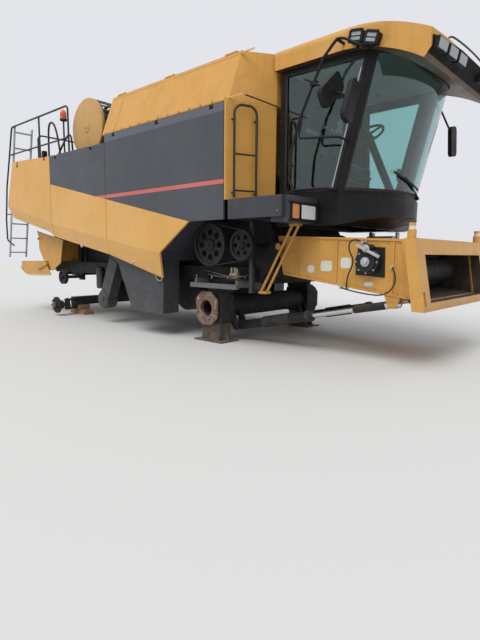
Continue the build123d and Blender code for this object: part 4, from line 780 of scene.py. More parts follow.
def rounded(width, height, corner, steps=5):
    """Corner points of a rectangle with rounded corners, about the origin."""
    points = []
    flat = min(corner, height / 2)
    for cx, cy, first in ((1, 1, 0), (-1, 1, 90), (-1, -1, 180), (1, -1, 270)):
        for step in range(steps):
            turn = math.radians(first + step * 90 / (steps - 1))
            points.append((cx * (width / 2 - corner) + corner * math.cos(turn),
                           cy * (height / 2 - flat) + flat * math.sin(turn)))
    return points


print("a rounded outline has", len(rounded(1, 1, 0.1)), "points")

# %% [markdown]
# Glass needs a border. The windows could keep the bare cut edge of the sheet, but real panes sit in a rubber
# seal, and the windscreen's seal follows the cab's bowed front, so that front is worked out again from its
# own arc.

# %% Window seals and door handle
CAB_HALF, BOW = 0.880, 0.4  # half the cab's width, and how far its front bows out
BOW_RADIUS = (CAB_HALF ** 2 + BOW ** 2) / (2 * BOW)
SILL, WINDOW_TOP = 1.862, 3.168  # heights of the windscreen's lower and upper seal
SEAL_END = 0.845  # half the windscreen's width


def front_x(y, z):
    """X of the cab's bowed front at a place across and a height."""
    pillar = AX + 1.750 + (z - 1.800) / 1.430 * 0.355
    return pillar + BOW - BOW_RADIUS + math.sqrt(BOW_RADIUS ** 2 - y * y)


def frame_strip(shape, outline, y, width, proud):
    """Add a flat strip round a window's outline in the side wall."""
    for i in range(len(outline)):
        (x1, z1), (x2, z2) = outline[i - 1], outline[i]
        beam(shape, (AX + x1, y, z1), (AX + x2, y, z2), proud, width, up=(z1 - z2, 0, x2 - x1))


side_window = ((1.035, 1.880), (1.690, 1.860), (2.015, 3.145), (1.025, 3.175))
shape = bmesh.new()
frame_strip(shape, side_window, -CAB_HALF - 0.001, 0.030, 0.010)
steps = [i / 12 * 2 * SEAL_END - SEAL_END for i in range(13)]
for z in (SILL, WINDOW_TOP):
    for y1, y2 in zip(steps, steps[1:]):
        beam(shape, (front_x(y1, z) + 0.001, y1, z), (front_x(y2, z) + 0.001, y2, z), 0.012, 0.028)
for y in (-SEAL_END, SEAL_END):
    beam(shape, (front_x(y, 1.86) - 0.003, y, 1.86), (front_x(y, 3.17) - 0.003, y, 3.17), 0.024, 0.012,
         up=(1, 0, 0))
mesh_piece("window_seals", shape, "rubber")

shape = bmesh.new()
frame_strip(shape, ((1.190, 1.900), (1.570, 1.900), (1.870, 3.120), (1.130, 3.120)), CAB_HALF + 0.001, 0.026,
            0.010)
brick(shape, (AX + 1.59, CAB_HALF - 0.002, 2.16), (AX + 1.64, CAB_HALF + 0.010, 2.32))
beam(shape, (AX + 1.612, CAB_HALF + 0.036, 2.17), (AX + 1.618, CAB_HALF + 0.036, 2.31), 0.016, 0.020,
     up=(1, 0, 0))
for z in (2.19, 2.29):
    beam(shape, (AX + 1.614, CAB_HALF + 0.005, z), (AX + 1.614, CAB_HALF + 0.036, z), 0.014, 0.014)
mesh_piece("door_seal_and_handle", shape, "rubber", "cab_door")
print("seals: bow radius", round(BOW_RADIUS, 3))

# %% [markdown]
# A strip of bright trim runs up the front pillar, and one wiper hangs on the windscreen's foot. The wiper's
# blade follows the bow of the glass, so its points come from the same arc as the seal.

# %% Pillar trim and wiper
shape = bmesh.new()
foot, top = (AX + 1.700, 1.885), (AX + 1.996, 3.050)
beam(shape, (foot[0] - 0.030, -CAB_HALF - 0.002, foot[1]), (top[0] - 0.030, -CAB_HALF - 0.002, top[1]), 0.006,
     0.014, up=(-1, 0, 0.25))
mesh_piece("window_edge_trim", shape, "bright_steel")

shape = bmesh.new()
pivot_y, pivot_z = 0.30, 1.835
pivot_x = front_x(pivot_y, pivot_z)
spool(shape, (pivot_x - 0.01, pivot_y, pivot_z), (pivot_x + 0.035, pivot_y, pivot_z),
      ((0, 0.022), (0.5, 0.022), (0.8, 0.016), (1, 0.010)), 20)
blade = [(front_x(y, z) + 0.020, y, z)
         for y, z in ((-0.42, 2.06), (-0.22, 2.00), (-0.02, 1.955), (0.18, 1.92))]
for a, b in zip(blade, blade[1:]):
    beam(shape, a, b, 0.010, 0.026)
beam(shape, (pivot_x + 0.030, pivot_y, pivot_z), (blade[1][0] + 0.012, blade[1][1], blade[1][2] + 0.01),
     0.012, 0.018)
mesh_piece("wiper", shape, "black_plastic")
print("wiper turns about", round(pivot_x, 3), pivot_y, pivot_z)

# %% [markdown]
# The roof's front edge carries a black band with the work lamps. It could be painted on the roof, but it
# stands a little proud, so it is a strip that follows whichever is further back: the visor's slope or its bow
# in plan.

# %% Visor band, grab rail and roof vent
VISOR_HALF, VISOR_SLOPE = 0.96, 0.765  # half its width, and its lean for each metre up


def visor_x(y, z):
    """X of the visor's front at a place across and a height."""
    bow = AX + 2.7 + 0.1 * (1 - (y / VISOR_HALF) ** 2)
    return min(bow, AX + 2.640 + (z - 2.950) * VISOR_SLOPE)


shape = bmesh.new()
rows, columns = [2.985, 3.02, 3.06, 3.10, 3.135], [i / 24 * 1.90 - 0.95 for i in range(25)]
grid = [[shape.verts.new((visor_x(y, z) + 0.008, y, z)) for y in columns] for z in rows]
for low_row, high_row in zip(grid, grid[1:]):
    for i in range(len(columns) - 1):
        shape.faces.new((low_row[i], low_row[i + 1], high_row[i + 1], high_row[i]))
bmesh.ops.solidify(shape, geom=shape.faces[:], thickness=0.012)
mesh_piece("visor_band", shape, "black_plastic")

rail = ((-0.62, 0.06, 3.160), (-0.62, 0.03, 3.215), (-0.50, 0.02, 3.225), (0, 0.02, 3.235),
        (0.50, 0.02, 3.225), (0.62, 0.03, 3.215), (0.62, 0.06, 3.160))
bent_tube("visor_rail", [(visor_x(y, 3.14) - inset, y, z) for y, inset, z in rail], 0.009, "rail_paint")

shape = bmesh.new()
vent_x, vent_z = AX + 2.20, 3.372
brick(shape, (vent_x - 0.065, -0.86, vent_z - 0.03), (vent_x + 0.065, -0.78, vent_z + 0.006), 0.004)
for i in range(5):
    x = vent_x - 0.05 + i * 0.025
    beam(shape, (x, -0.855, vent_z + 0.008), (x, -0.785, vent_z + 0.008), 0.008, 0.010)
mesh_piece("roof_vent", shape, "black_plastic")
print("visor band from", rows[0], "to", rows[-1], "m up")

# %% [markdown]
# A head lamp is a lens in a black frame with two bright cups. The lens is a solid already. Its frame and cups
# could be one bent sheet, but bars and turned rings give the same shadows with few faces. The two lamps at
# the roof's edge tilt with its slope, so their frames are drawn flat and turned.

# %% Lamp bezels and reflectors
LAMP_FOOT, LAMP_TOP = 1.530, 1.685
LAMP_MIDDLE = (LAMP_FOOT + LAMP_TOP) / 2
shape = bmesh.new()
lamp_x = AX + 1.5
for y1, y2 in ((-1.230, -0.955), (-1.392, -1.262)):
    for a, b in four_edges(y1, y2, LAMP_FOOT, LAMP_TOP):
        beam(shape, (lamp_x + 0.008, *a), (lamp_x + 0.008, *b), 0.012, 0.018, up=(1, 0, 0))
brick(shape, (lamp_x - 0.004, -1.442, 1.690), (lamp_x + 0.016, -0.905, 1.712), 0.004)
brick(shape, (lamp_x - 0.004, -1.442, 1.502), (lamp_x + 0.016, -0.905, 1.522), 0.004)
mirrored(shape)
mesh_piece("head_lamp_bezels", shape, "black_plastic")
shape = bmesh.new()
for y in (-1.158, -1.030):
    for back, front, cup, round_sides in ((0.0075, 0.0105, ((0, 0.054), (0.5, 0.054), (1, 0.049)), 32),
                                          (0.0100, 0.0135, ((0, 0.017), (0.6, 0.015), (1, 0.008)), 20)):
        spool(shape, (lamp_x + back, y, LAMP_MIDDLE), (lamp_x + front, y, LAMP_MIDDLE), cup, round_sides)
mirrored(shape)
mesh_piece("head_lamp_reflectors", shape, "bright_steel")

shape = bmesh.new()
for x, z, tilt in ((1.980, 3.288, 10.0), (2.146, 3.232, 18.0)):
    turn = Matrix.Rotation(math.radians(tilt), 3, "Y")
    half_w, half_h, y = 0.0665, 0.0520, -1.046
    ring = [Vector((AX + x, y, z)) + turn @ Vector((u * half_w, 0, v * half_h))
            for u, v in ((-1, -1), (1, -1), (1, 1), (-1, 1))]
    for a, b in zip(ring, ring[1:] + ring[:1]):
        beam(shape, a, b, 0.014, 0.026, up=(b - a).cross(Vector((0, 1, 0))))
    middle = [a.lerp(b, 0.5) for a, b in zip(ring, ring[1:] + ring[:1])]
    beam(shape, middle[1], middle[3], 0.008, 0.008)
    spool(shape, (AX + x, -1.000, z - 0.10), (AX + x, -1.000, z - 0.045), ((0, 0.018), (1, 0.018)), 12)
mesh_piece("edge_lamp_bezels", shape, "black_plastic")
bent_tube("mirror_arm_brace",
          placed([(1.795, -1.100, 3.290), (1.860, -1.095, 3.296), (2.000, -1.070, 3.205),
                  (2.100, -1.010, 3.165), (2.125, -0.950, 3.160)]), 0.013, "black_plastic")
print("head lamps at", round(lamp_x, 3), "m, their middle", round(LAMP_MIDDLE, 4), "m up")

# %% [markdown]
# Latches and hooks are what make a sheet panel believable. They could be placed by eye, but the lower part of
# each panel leans in below a crease, so one function gives the skin's place at any height, and the latches
# sit on it.

# %% Latches and hooks on the side panels
CREASE_LEAN = math.tan(math.radians(13))


def skin_y(x, z):
    """Y of the right side panels' outer face at a place along, measured from the axle, and a height."""
    crease = 1.150 - 0.1693 * (x + 0.540) if x > -3.46 else 1.645 - 0.2283 * (x + 3.460)
    return -1.5 + max(0.0, crease - z) * CREASE_LEAN


latches = {"front": ((-1.22, 1.03),), "middle": ((-2.60, 1.27),), "rear": ((-3.87, 1.60), (-4.45, 1.72))}
for part, places in latches.items():
    for name, hand in SIDES:
        shape = bmesh.new()
        for x, z in places:
            y = skin_y(x, z)
            spool(shape, (AX + x, y + 0.012, z), (AX + x, y - 0.012, z - 0.005),
                  ((0, 0.027), (0.55, 0.027), (0.7, 0.022), (1.0, 0.020)), 24)
            beam(shape, (AX + x - 0.016, y - 0.014, z), (AX + x + 0.016, y - 0.014, z), 0.007, 0.006)
        if hand > 0:
            bmesh.ops.scale(shape, verts=shape.verts[:], vec=(1, -1, 1))
        mesh_piece(f"latch_{part}_{name}", shape, "bright_steel", f"side_panel_{name}_{part}")
hook = [(-0.625, 0.86), (-0.628, 0.80), (-0.68, 0.785), (-0.745, 0.79), (-0.765, 0.86)]
for name, hand in SIDES:
    bent_tube(f"panel_hook_{name}", [(AX + x, -hand * (skin_y(x, z) + 0.018), z) for x, z in hook], 0.009,
              "brass", f"side_panel_{name}_front")
print("latches:", sum(len(p) for p in latches.values()) * 2)

# %% [markdown]
# There are about two hundred bolt heads. They could be modelled one by one, but a Geometry Nodes group takes
# a cloud of points, each with the direction that it faces, and sets a washer and a six-sided head on every
# one.

# %% Helpers for groups that work on points
def points_group(name, size_name, result):
    """Node group that takes points, one size and a finish; with the node that gives these to the others."""
    group = bpy.data.node_groups.new(name, "GeometryNodeTree")
    for label, kind in (("Points", "Geometry"), (size_name, "Float"), ("Finish", "Material")):
        group.interface.new_socket(label, in_out="INPUT", socket_type=f"NodeSocket{kind}")
    group.interface.new_socket(result, in_out="OUTPUT", socket_type="NodeSocketGeometry")
    return group, add(group, "NodeGroupInput")


def set_on_points(group, given, form, turn):
    """End of such a group: one form on every point, turned, made real and painted."""
    spread = add(group, "GeometryNodeInstanceOnPoints", {"Points": given.outputs[0], "Instance": form,
                                                         "Rotation": turn})
    real = add(group, "GeometryNodeRealizeInstances", {0: spread.outputs[0]})
    painted = add(group, "GeometryNodeSetMaterial",
                  {"Geometry": real.outputs[0], "Material": given.outputs[2]})
    add(group, "NodeGroupOutput", {0: painted.outputs[0]})


def grown(name, cloud, group, inputs, body):
    """Run a group over a cloud of points, and keep what it makes as a plain mesh that rides on a body."""
    holder = new_object(name + "_points", cloud)
    modifier = holder.modifiers.new("nodes", "NODES")
    modifier.node_group = group
    sockets = {item.name: item.identifier for item in group.interface.items_tree if item.in_out == "INPUT"}
    for key, value in inputs.items():
        modifier[sockets[key]] = value
    bpy.context.view_layer.update()
    mesh = as_mesh(holder)
    bpy.data.objects.remove(holder)
    made = new_object(name, mesh)
    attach(made, body)


print("node helpers are ready")

# %% [markdown]
# A real bolt head is about 0.7 of its radius thick and sits on a washer 1.45 times as wide. With these shares
# in the group, one size sets the whole bolt.

# %% Bolt heads by Geometry Nodes
HEAD_SHARE, WASHER_SHARE, WASHER_THIN = 0.7, 1.45, 0.2


def bolt_group():
    """Node group that puts a hexagon head on a washer at every point, facing the point's own direction."""
    group, given = points_group("bolt_heads", "Head radius", "Bolts")
    size = given.outputs[1]
    thick, wide, thin = (add(group, "ShaderNodeMath", {0: size, 1: share}, operation="MULTIPLY").outputs[0]
                         for share in (HEAD_SHARE, WASHER_SHARE, WASHER_THIN))
    head = add(group, "GeometryNodeMeshCylinder", {"Vertices": 6, "Radius": size, "Depth": thick})
    washer = add(group, "GeometryNodeMeshCylinder", {"Vertices": 16, "Radius": wide, "Depth": thin})
    raised = add(group, "ShaderNodeCombineXYZ", {2: add(group, "ShaderNodeMath", {0: thick, 1: 0.5},
                                                        operation="MULTIPLY").outputs[0]})
    lifted = add(group, "GeometryNodeTransform",
                 {"Geometry": head.outputs[0], "Translation": raised.outputs[0]})
    bolt = add(group, "GeometryNodeJoinGeometry")
    group.links.new(lifted.outputs[0], bolt.inputs[0])
    group.links.new(washer.outputs[0], bolt.inputs[0])
    facing = add(group, "GeometryNodeInputNamedAttribute", {"Name": "facing"}, data_type="FLOAT_VECTOR")
    turn = add(group, "FunctionNodeAlignRotationToVector", {"Vector": facing.outputs[0]}, axis="Z")
    set_on_points(group, given, bolt.outputs[0], turn.outputs[0])
    return group


BOLTS = bolt_group()


def bolts(name, places, radius, look, body="chassis", hands=(1, -1)):
    """Set a bolt head at each place and its facing, on the right side and mirrored on the left."""
    cloud = bpy.data.meshes.new(name + "_points")
    spots = [((x, y * hand, z), (fx, fy * hand, fz)) for (x, y, z), (fx, fy, fz) in places for hand in hands]
    cloud.from_pydata([spot for spot, facing in spots], [], [])
    layer = cloud.attributes.new("facing", "FLOAT_VECTOR", "POINT")
    for item, (spot, facing) in zip(layer.data, spots):
        item.vector = facing
    grown(name, cloud, BOLTS, {"Head radius": radius, "Finish": finish[look]}, body)
    return len(spots)


def row(start, end, count, facing):
    """Evenly spaced places on a line, all facing one way."""
    start, end = Vector(start), Vector(end)
    return [(tuple(start.lerp(end, i / (count - 1))), facing) for i in range(count)]


def circle(count, radius, turn=0.0):
    """Evenly spaced steps round a circle, as pairs of offsets; turn is a share of one step."""
    angles = [math.tau * (i + turn) / count for i in range(count)]
    return [(radius * math.cos(angle), radius * math.sin(angle)) for angle in angles]


OUT = (0, -1, 0)
count = bolts("feeder_edge_bolts", row((AX + 1.10, -0.820, 1.335), (AX + 2.44, -0.820, 1.280), 12, OUT)
              + row((AX + 1.08, -0.820, 0.935), (AX + 2.44, -0.820, 0.765), 12, OUT), 0.009, "yellow_paint",
              "feeder")
count += bolts("gear_case_bolts", [((AX + 2.130 + u, -0.915, 1.085 + v), OUT) for u, v in circle(8, 0.117)],
               0.008, "bright_steel", "feeder", hands=(1,))
count += bolts("header_post_bolts",
               row((AX + 2.640, -0.999, 1.250), (AX + 2.700, -0.999, 0.900), 4, (1, 0, 0.19)),
               0.014, "dark_paint", "feeder")
count += bolts("axle_box_bolts", [((AX + u, -1.100, 0.450 + v), OUT) for u, v in circle(12, 0.150, 0.5)],
               0.010, "chassis")
count += bolts("tank_foot_bolts", row((AX - 1.80, -1.462, 2.885), (AX + 0.60, -1.462, 2.885), 13, OUT), 0.008,
               "yellow_paint", hands=(1,))
count += bolts("side_box_bolts", row((AX - 0.72, -1.370, 0.42), (AX - 0.70, -1.370, 1.02), 5, OUT)
               + row((AX - 1.30, -1.370, 0.40), (AX - 0.76, -1.370, 0.40), 4, OUT), 0.008, "dark_paint")
count += bolts("chopper_bolts", row((AX - 4.60, -1.200, 1.50), (AX - 3.80, -1.200, 1.35), 6, OUT)
               + row((AX - 3.90, -1.200, 1.02), (AX - 4.10, -1.200, 0.90), 3, OUT), 0.009, "yellow_paint")
count += bolts("tray_screw", [((AX + 1.40, -1.4956, 1.61), OUT)], 0.007, "bright_steel")
print("bolt heads:", count)

# %% [markdown]
# The feeder channel's right wall carries blank plates, folded edges and stiffening ribs, and the header
# frame's posts end in sleeved horns. All of it could be cut into the channel, but these are separate sheets
# on the real one, so they are laid on with their own edges.

# %% Feeder: blank plates, folds and horn sleeves
WALL = -0.8205  # Y of the channel's right face
shape = bmesh.new()
for x, z, w, h in ((1.591, 1.030, 0.150, 0.120), (1.838, 1.068, 0.130, 0.120), (1.384, 0.991, 0.090, 0.090),
                   (2.117, 0.850, 0.110, 0.050)):
    plate(shape, [(AX + x + u, WALL, z + v) for u, v in rounded(w, h, 0.030, 4)], (0, -0.0015, 0))
mesh_piece("blank_plates", shape, "pale_plate", "feeder")

shape = bmesh.new()
for x1, z1, x2, z2 in ((0.94, 1.366, 2.55, 1.304), (1.00, 0.925, 2.55, 0.728)):
    beam(shape, (AX + x1, -0.826, z1), (AX + x2, -0.826, z2), 0.014, 0.026)
for x in (1.20, 1.72, 2.38):
    beam(shape, (AX + x, -0.825, 1.350 - (x - 0.94) * 0.0385), (AX + x, -0.825, 0.925 - (x - 1.0) * 0.127),
         0.012, 0.030, up=(1, 0, 0))
mirrored(shape)
mesh_piece("feeder_folds", shape, "yellow_paint", "feeder")

shape = bmesh.new()
spool(shape, (AX + 2.635, -0.995, 1.398), (AX + 2.635, -0.995, 1.442), ((0, 0.034), (0.5, 0.031), (1, 0.030)),
      24)
mirrored(shape)
mesh_piece("horn_sleeves", shape, "pale_plate", "feeder")
print("folds and plates on the wall at", WALL)

# %% [markdown]
# A gear case on the same wall has a shift lever and a hub, and two hydraulic hoses loop round it. The hoses
# could be swept straight from port to port, but a real hose is stiff and sags, so each is one smooth curve
# that leaves its fitting in line with it.

# %% Feeder: shift lever and hoses
shape = bmesh.new()
beam(shape, (AX + 2.028, -0.960, 1.261), (AX + 2.294, -0.960, 1.137), 0.012, 0.030)
spool(shape, (AX + 2.139, -0.945, 1.224), (AX + 2.139, -0.985, 1.224),
      ((0, 0.040), (0.4, 0.040), (0.5, 0.024), (1, 0.022)), 20)
spool(shape, (AX + 2.130, -0.935, 1.085), (AX + 2.130, -0.975, 1.085),
      ((0, 0.050), (0.35, 0.050), (0.4, 0.030), (0.9, 0.030), (1, 0.022)), 24)
mesh_piece("shift_lever", shape, "bright_steel", "feeder")

HOSE_RADIUS = 0.0075
hose_runs = {
    "feeder_hose_1": [(2.071, -0.90, 1.290), (2.020, -0.935, 1.322), (1.950, -0.955, 1.300),
                      (1.935, -0.945, 1.205), (1.985, -0.915, 1.110), (1.945, -0.89, 1.010),
                      (1.885, -0.87, 0.920), (1.866, -0.845, 0.790)],
    "feeder_hose_2": [(1.800, -0.845, 0.800), (1.869, -0.88, 0.785), (2.150, -0.905, 0.745),
                      (2.350, -0.905, 0.745), (2.450, -0.905, 0.850), (2.440, -0.88, 0.980),
                      (2.380, -0.845, 1.040)],
}
for name, points in hose_runs.items():
    points = placed(points)
    hose = bent_tube(name, points, HOSE_RADIUS, "rubber", "feeder")
    run_length(hose)
shape = bmesh.new()
for points in hose_runs.values():
    for x, y, z in (points[0], points[-1]):
        spool(shape, (AX + x, WALL, z), (AX + x, y - 0.016, z),
              ((0, 0.019), (0.3, 0.019), (0.35, 0.015), (1, 0.015)), 12)
mesh_piece("hose_fittings", shape, "bright_steel", "feeder")
print("hoses:", sorted(hose_runs))

# %% [markdown]
# The lift cylinders are chrome only where the rod slides: a ribbed rubber sleeve guards the barrel, and the
# rod's end is painted. The ribs could be a bump, but their edges show against the floor, so both are turned
# forms on the cylinder's own line.

# %% Lift cylinder sleeves
BASE, EYELET = Vector((AX + 0.220, 0, 0.200)), Vector((AX + 2.390, 0, 0.650))
ALONG = (EYELET - BASE).normalized()
REACH = (EYELET - BASE).length
for name, hand in SIDES:
    across = Vector((0, hand * 0.750, 0))
    shape = bmesh.new()
    ribs = [(0.0, 0.062)]
    for i in range(9):
        start = 0.02 + i * 0.108
        ribs += [(start, 0.062), (start + 0.02, 0.074), (start + 0.066, 0.074), (start + 0.086, 0.064)]
    ribs.append((1.0, 0.062))
    spool(shape, BASE + ALONG * 0.42 + across, BASE + ALONG * 0.86 + across, ribs, 32)
    spool(shape, BASE + ALONG * 1.10 + across, BASE + ALONG * 1.19 + across,
          ((0, 0.062), (0.1, 0.070), (0.8, 0.070), (0.9, 0.045), (1, 0.036)), 32)
    mesh_piece(f"barrel_sleeve_{name}", shape, "rubber", f"lift_barrel_{name}")
    shape = bmesh.new()
    spool(shape, BASE + ALONG * (REACH - 0.48) + across, BASE + ALONG * (REACH - 0.075) + across,
          ((0, 0.033), (0.02, 0.042), (0.94, 0.044), (1.0, 0.036)), 32)
    mesh_piece(f"rod_end_{name}", shape, "chassis", f"lift_rod_{name}")
print("cylinder reach", round(REACH, 3))

# %% [markdown]
# The driver's seat is foam under woven cloth. A cushion could be a box with rounded edges, but foam under a
# tight cover crowns, so each pad is a box that is rebuilt in small even faces and swollen by cloth pressure.
# Sewn channels are pressed in afterwards, because the rebuild would smooth them away.

# %% Seat cushion, back, headrest and armrest
VOXEL, PRESSURE, MOST_SWELL = 0.006, 4.0, 0.016
CHANNEL_WIDTH, CHANNEL_DEPTH = 0.011, 0.010


def pad(name, low, high, rounding, lean, foot, channels):
    """Cushion between two corners, swollen by cloth pressure in a full run, then leaned about its foot."""
    shape = bmesh.new()
    brick(shape, low, high, rounding)
    mesh = bpy.data.meshes.new(name)
    shape.to_mesh(mesh)
    shape.free()
    made = new_object(name, mesh)
    rebuilt = made.modifiers.new("even_faces", "REMESH")
    rebuilt.mode, rebuilt.voxel_size = "VOXEL", VOXEL
    made.data = as_mesh(made)
    made.modifiers.clear()
    rest = [vert.co.copy() for vert in made.data.vertices]
    swell = made.modifiers.new("swell", "CLOTH")
    swell.settings.use_pressure = True
    swell.settings.uniform_pressure_force = PRESSURE
    swell.settings.effector_weights.gravity = 0.0
    for number in range(1, 21):
        bpy.context.scene.frame_set(number)
    swollen = as_mesh(made)
    made.modifiers.clear()
    bpy.context.scene.frame_set(1)
    for vert, moved, start in zip(made.data.vertices, swollen.vertices, rest):
        step = moved.co - start
        vert.co = start + step * min(1.0, MOST_SWELL / max(step.length, 1e-6))
    turn = Matrix.Rotation(math.radians(-lean), 3, "Y")
    middle = [(a + b) / 2 for a, b in zip(low, high)]
    for vert, start in zip(made.data.vertices, rest):
        pressed = 0.0
        for axis, place in channels:
            gap = (start[axis] - place) / CHANNEL_WIDTH
            pressed += CHANNEL_DEPTH * math.exp(-gap * gap)
        inward = Vector([m - c for m, c in zip(middle, vert.co)])
        thin = min(range(3), key=lambda i: high[i] - low[i])
        vert.co[thin] += math.copysign(pressed, inward[thin]) * min(1.0, abs(inward[thin]) / 0.02)
        vert.co = turn @ vert.co + Vector(foot)
    smooth = made.modifiers.new("finer", "SUBSURF")
    smooth.levels = smooth.render_levels = 1
    made.data.shade_smooth()
    made.data.materials.append(finish["seat_cloth"])
    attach(made, "chassis")
    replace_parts(made, "seat")


pad("seat_cushion", (-0.215, -0.235, 0.010), (0.215, 0.235, 0.100), 0.030, 3, (AX + 1.345, 0, 2.120),
    ((1, -0.13), (1, 0.13), (0, 0.06)))
pad("seat_back", (-0.040, -0.215, 0.0), (0.040, 0.215, 0.480), 0.030, 8, (AX + 1.165, 0, 2.255),
    ((1, -0.12), (1, 0.12), (2, 0.17), (2, 0.33)))
pad("seat_headrest", (-0.035, -0.130, 0.0), (0.035, 0.130, 0.130), 0.025, 8, (AX + 1.092, 0, 2.762), ())
pad("seat_armrest", (-0.200, -0.045, 0.0), (0.200, 0.045, 0.055), 0.018, 0, (AX + 1.410, -0.345, 2.345), ())

# %% [markdown]
# Under the cushion sits a sprung base in a folded boot, and beside it a console with levers. Someone who
# looks through the tinted glass sees just these dark shapes, so outline counts for more than surface: bricks,
# spools and one bevelled plate are enough.

# %% Cab: seat base and console
CAB_FLOOR = 1.842
shape = bmesh.new()
brick(shape, (AX + 1.15, -0.19, CAB_FLOOR), (AX + 1.51, 0.19, 1.880), 0.006)
for i in range(6):
    z, fold = 1.885 + i * 0.030, 0.012 * (i % 2)
    brick(shape, (AX + 1.19 - fold, -0.155 - fold, z), (AX + 1.47 + fold, 0.155 + fold, z + 0.028), 0.008)
brick(shape, (AX + 1.14, -0.21, 2.065), (AX + 1.55, 0.21, 2.100), 0.010)
brick(shape, (AX + 1.14, -0.225, 2.098), (AX + 1.56, 0.225, 2.128), 0.010)
beam(shape, (AX + 1.16, -0.04, 2.10), (AX + 1.13, -0.04, 2.30), 0.05, 0.016, up=(1, 0, 0))
for y in (-0.06, 0.06):
    spool(shape, (AX + 1.102, y, 2.715), (AX + 1.088, y, 2.800), ((0, 0.007), (1, 0.007)), 12)
beam(shape, (AX + 1.30, -0.20, 2.115), (AX + 1.34, -0.345, 2.16), 0.040, 0.020)
beam(shape, (AX + 1.34, -0.345, 2.15), (AX + 1.36, -0.345, 2.345), 0.040, 0.024, up=(1, 0, 0))
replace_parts(mesh_piece("seat_base", shape, "black_plastic"), "seat")

shape = bmesh.new()
console = ((1.10, CAB_FLOOR), (1.62, CAB_FLOOR), (1.60, 2.10), (1.48, 2.28), (1.12, 2.20))
plate(shape, [(AX + x, -0.700, z) for x, z in console], (0, 0.20, 0))
bmesh.ops.bevel(shape, geom=shape.edges[:], offset=0.012, segments=2, affect="EDGES")
for x, z in ((1.20, 2.218), (1.28, 2.236), (1.36, 2.254)):
    spool(shape, (AX + x, -0.64, z - 0.02), (AX + x - 0.01, -0.64, z + 0.03),
          ((0, 0.014), (0.6, 0.014), (0.8, 0.010), (1, 0.010)), 14)
spool(shape, (AX + 1.40, -0.55, 2.255), (AX + 1.43, -0.55, 2.36),
      ((0, 0.030), (0.15, 0.026), (0.2, 0.010), (0.6, 0.012), (0.7, 0.026), (0.9, 0.030), (1, 0.018)), 20)
spool(shape, (AX + 1.30, -0.55, 2.235), (AX + 1.31, -0.55, 2.33),
      ((0, 0.018), (0.5, 0.007), (0.7, 0.017), (1, 0.012)), 16)
mesh_piece("control_console", shape, "black_plastic")
print("seat base and console stand on", CAB_FLOOR)

# %% [markdown]
# A monitor leans beside the wheel, a ribbed mat covers the floor, and felt lines the roof with two round
# speakers. The screen is a thin plate of its own, because glass and case have different finishes.

# %% Cab: monitor, floor mat and lining
shape = bmesh.new()
plate(shape, placed([(1.700, -0.70, 2.32), (1.700, -0.46, 2.32), (1.746, -0.46, 2.49), (1.746, -0.70, 2.49)]),
      (-0.045, 0, 0.012))
bmesh.ops.bevel(shape, geom=shape.edges[:], offset=0.008, segments=2, affect="EDGES")
beam(shape, (AX + 1.72, -0.60, 2.36), (AX + 1.78, -0.72, 2.30), 0.022, 0.022)
beam(shape, (AX + 1.78, -0.72, 2.30), (AX + 1.78, -0.842, 2.27), 0.022, 0.022)
mesh_piece("monitor_case", shape, "black_plastic")
shape = bmesh.new()
plate(shape,
      placed([(1.6575, -0.685, 2.350), (1.6575, -0.475, 2.350), (1.6945, -0.475, 2.484),
              (1.6945, -0.685, 2.484)]),
      (-0.004, 0, 0.001))
mesh_piece("monitor_screen", shape, "display")

shape = bmesh.new()
brick(shape, (AX + 1.03, -0.66, 1.8405), (AX + 1.98, 0.66, 1.848), 0.003)
for i in range(27):
    y = -0.624 + i * 0.048
    beam(shape, (AX + 1.06, y, 1.850), (AX + 1.95, y, 1.850), 0.022, 0.006)
mesh_piece("floor_mat", shape, "rubber")

shape = bmesh.new()
arc = [(front_x(y, 3.19) - 0.060, y, 3.188) for y in [i / 10 * 1.56 - 0.78 for i in range(11)]]
plate(shape, [(AX + 1.03, 0.78, 3.188), (AX + 1.03, -0.78, 3.188)] + arc, (0, 0, 0.022))
for y in (-0.45, 0.45):
    spool(shape, (AX + 1.50, y, 3.190), (AX + 1.50, y, 3.172),
          ((0, 0.06), (0.5, 0.06), (0.8, 0.045), (1, 0.040)), 24)
mesh_piece("roof_lining", shape, "felt")

shape = bmesh.new()
blind_x = front_x(0, 3.12) - 0.17
spool(shape, (blind_x, -0.46, 3.150), (blind_x, 0.46, 3.150),
      ((0, 0.014), (0.01, 0.022), (0.99, 0.022), (1, 0.014)), 20)
for y in (-0.45, 0.45):
    beam(shape, (blind_x, y, 3.150), (blind_x, y, 3.190), 0.012, 0.020, up=(1, 0, 0))
for y in (-0.13, 0.13):
    beam(shape, (AX + 2.02, y, 1.845), (AX + 2.09, y, 1.94), 0.070, 0.014, up=(1, 0, 0.6))
mesh_piece("sun_blind_and_pedals", shape, "black_plastic")
print("cab lining at", [round(v, 3) for v in arc[0]])

# %% [markdown]
# The mirrors' housings are solids already, but a mirror needs its glass. Each glass is a thin plate with
# rounded corners, set on the housing's rear face and turned with it. The warning lamp on its post replaces a
# plain solid: its moulded dome has fine rings, which a turned profile gives at once.

# %% Mirror glasses, and the orange lamp on its post
shape = bmesh.new()
mirrors = ((1.850, -1.300, 2.745, 0.200, 0.420, -50), (2.070, -1.300, 2.600, 0.160, 0.420, -23),
           (2.135, 1.280, 2.660, 0.190, 0.380, 10))
for x, y, z, width, height, tilt in mirrors:
    turn = Matrix.Rotation(math.radians(tilt), 2)
    ring = []
    for u, v in rounded(width - 0.030, height - 0.030, width * 0.22):
        u, v = turn @ Vector((u, v))
        ring.append((AX + x, y + u, z + v))
    plate(shape, ring, (-0.003, 0, 0))
mesh_piece("mirror_glasses", shape, "mirror_glass")

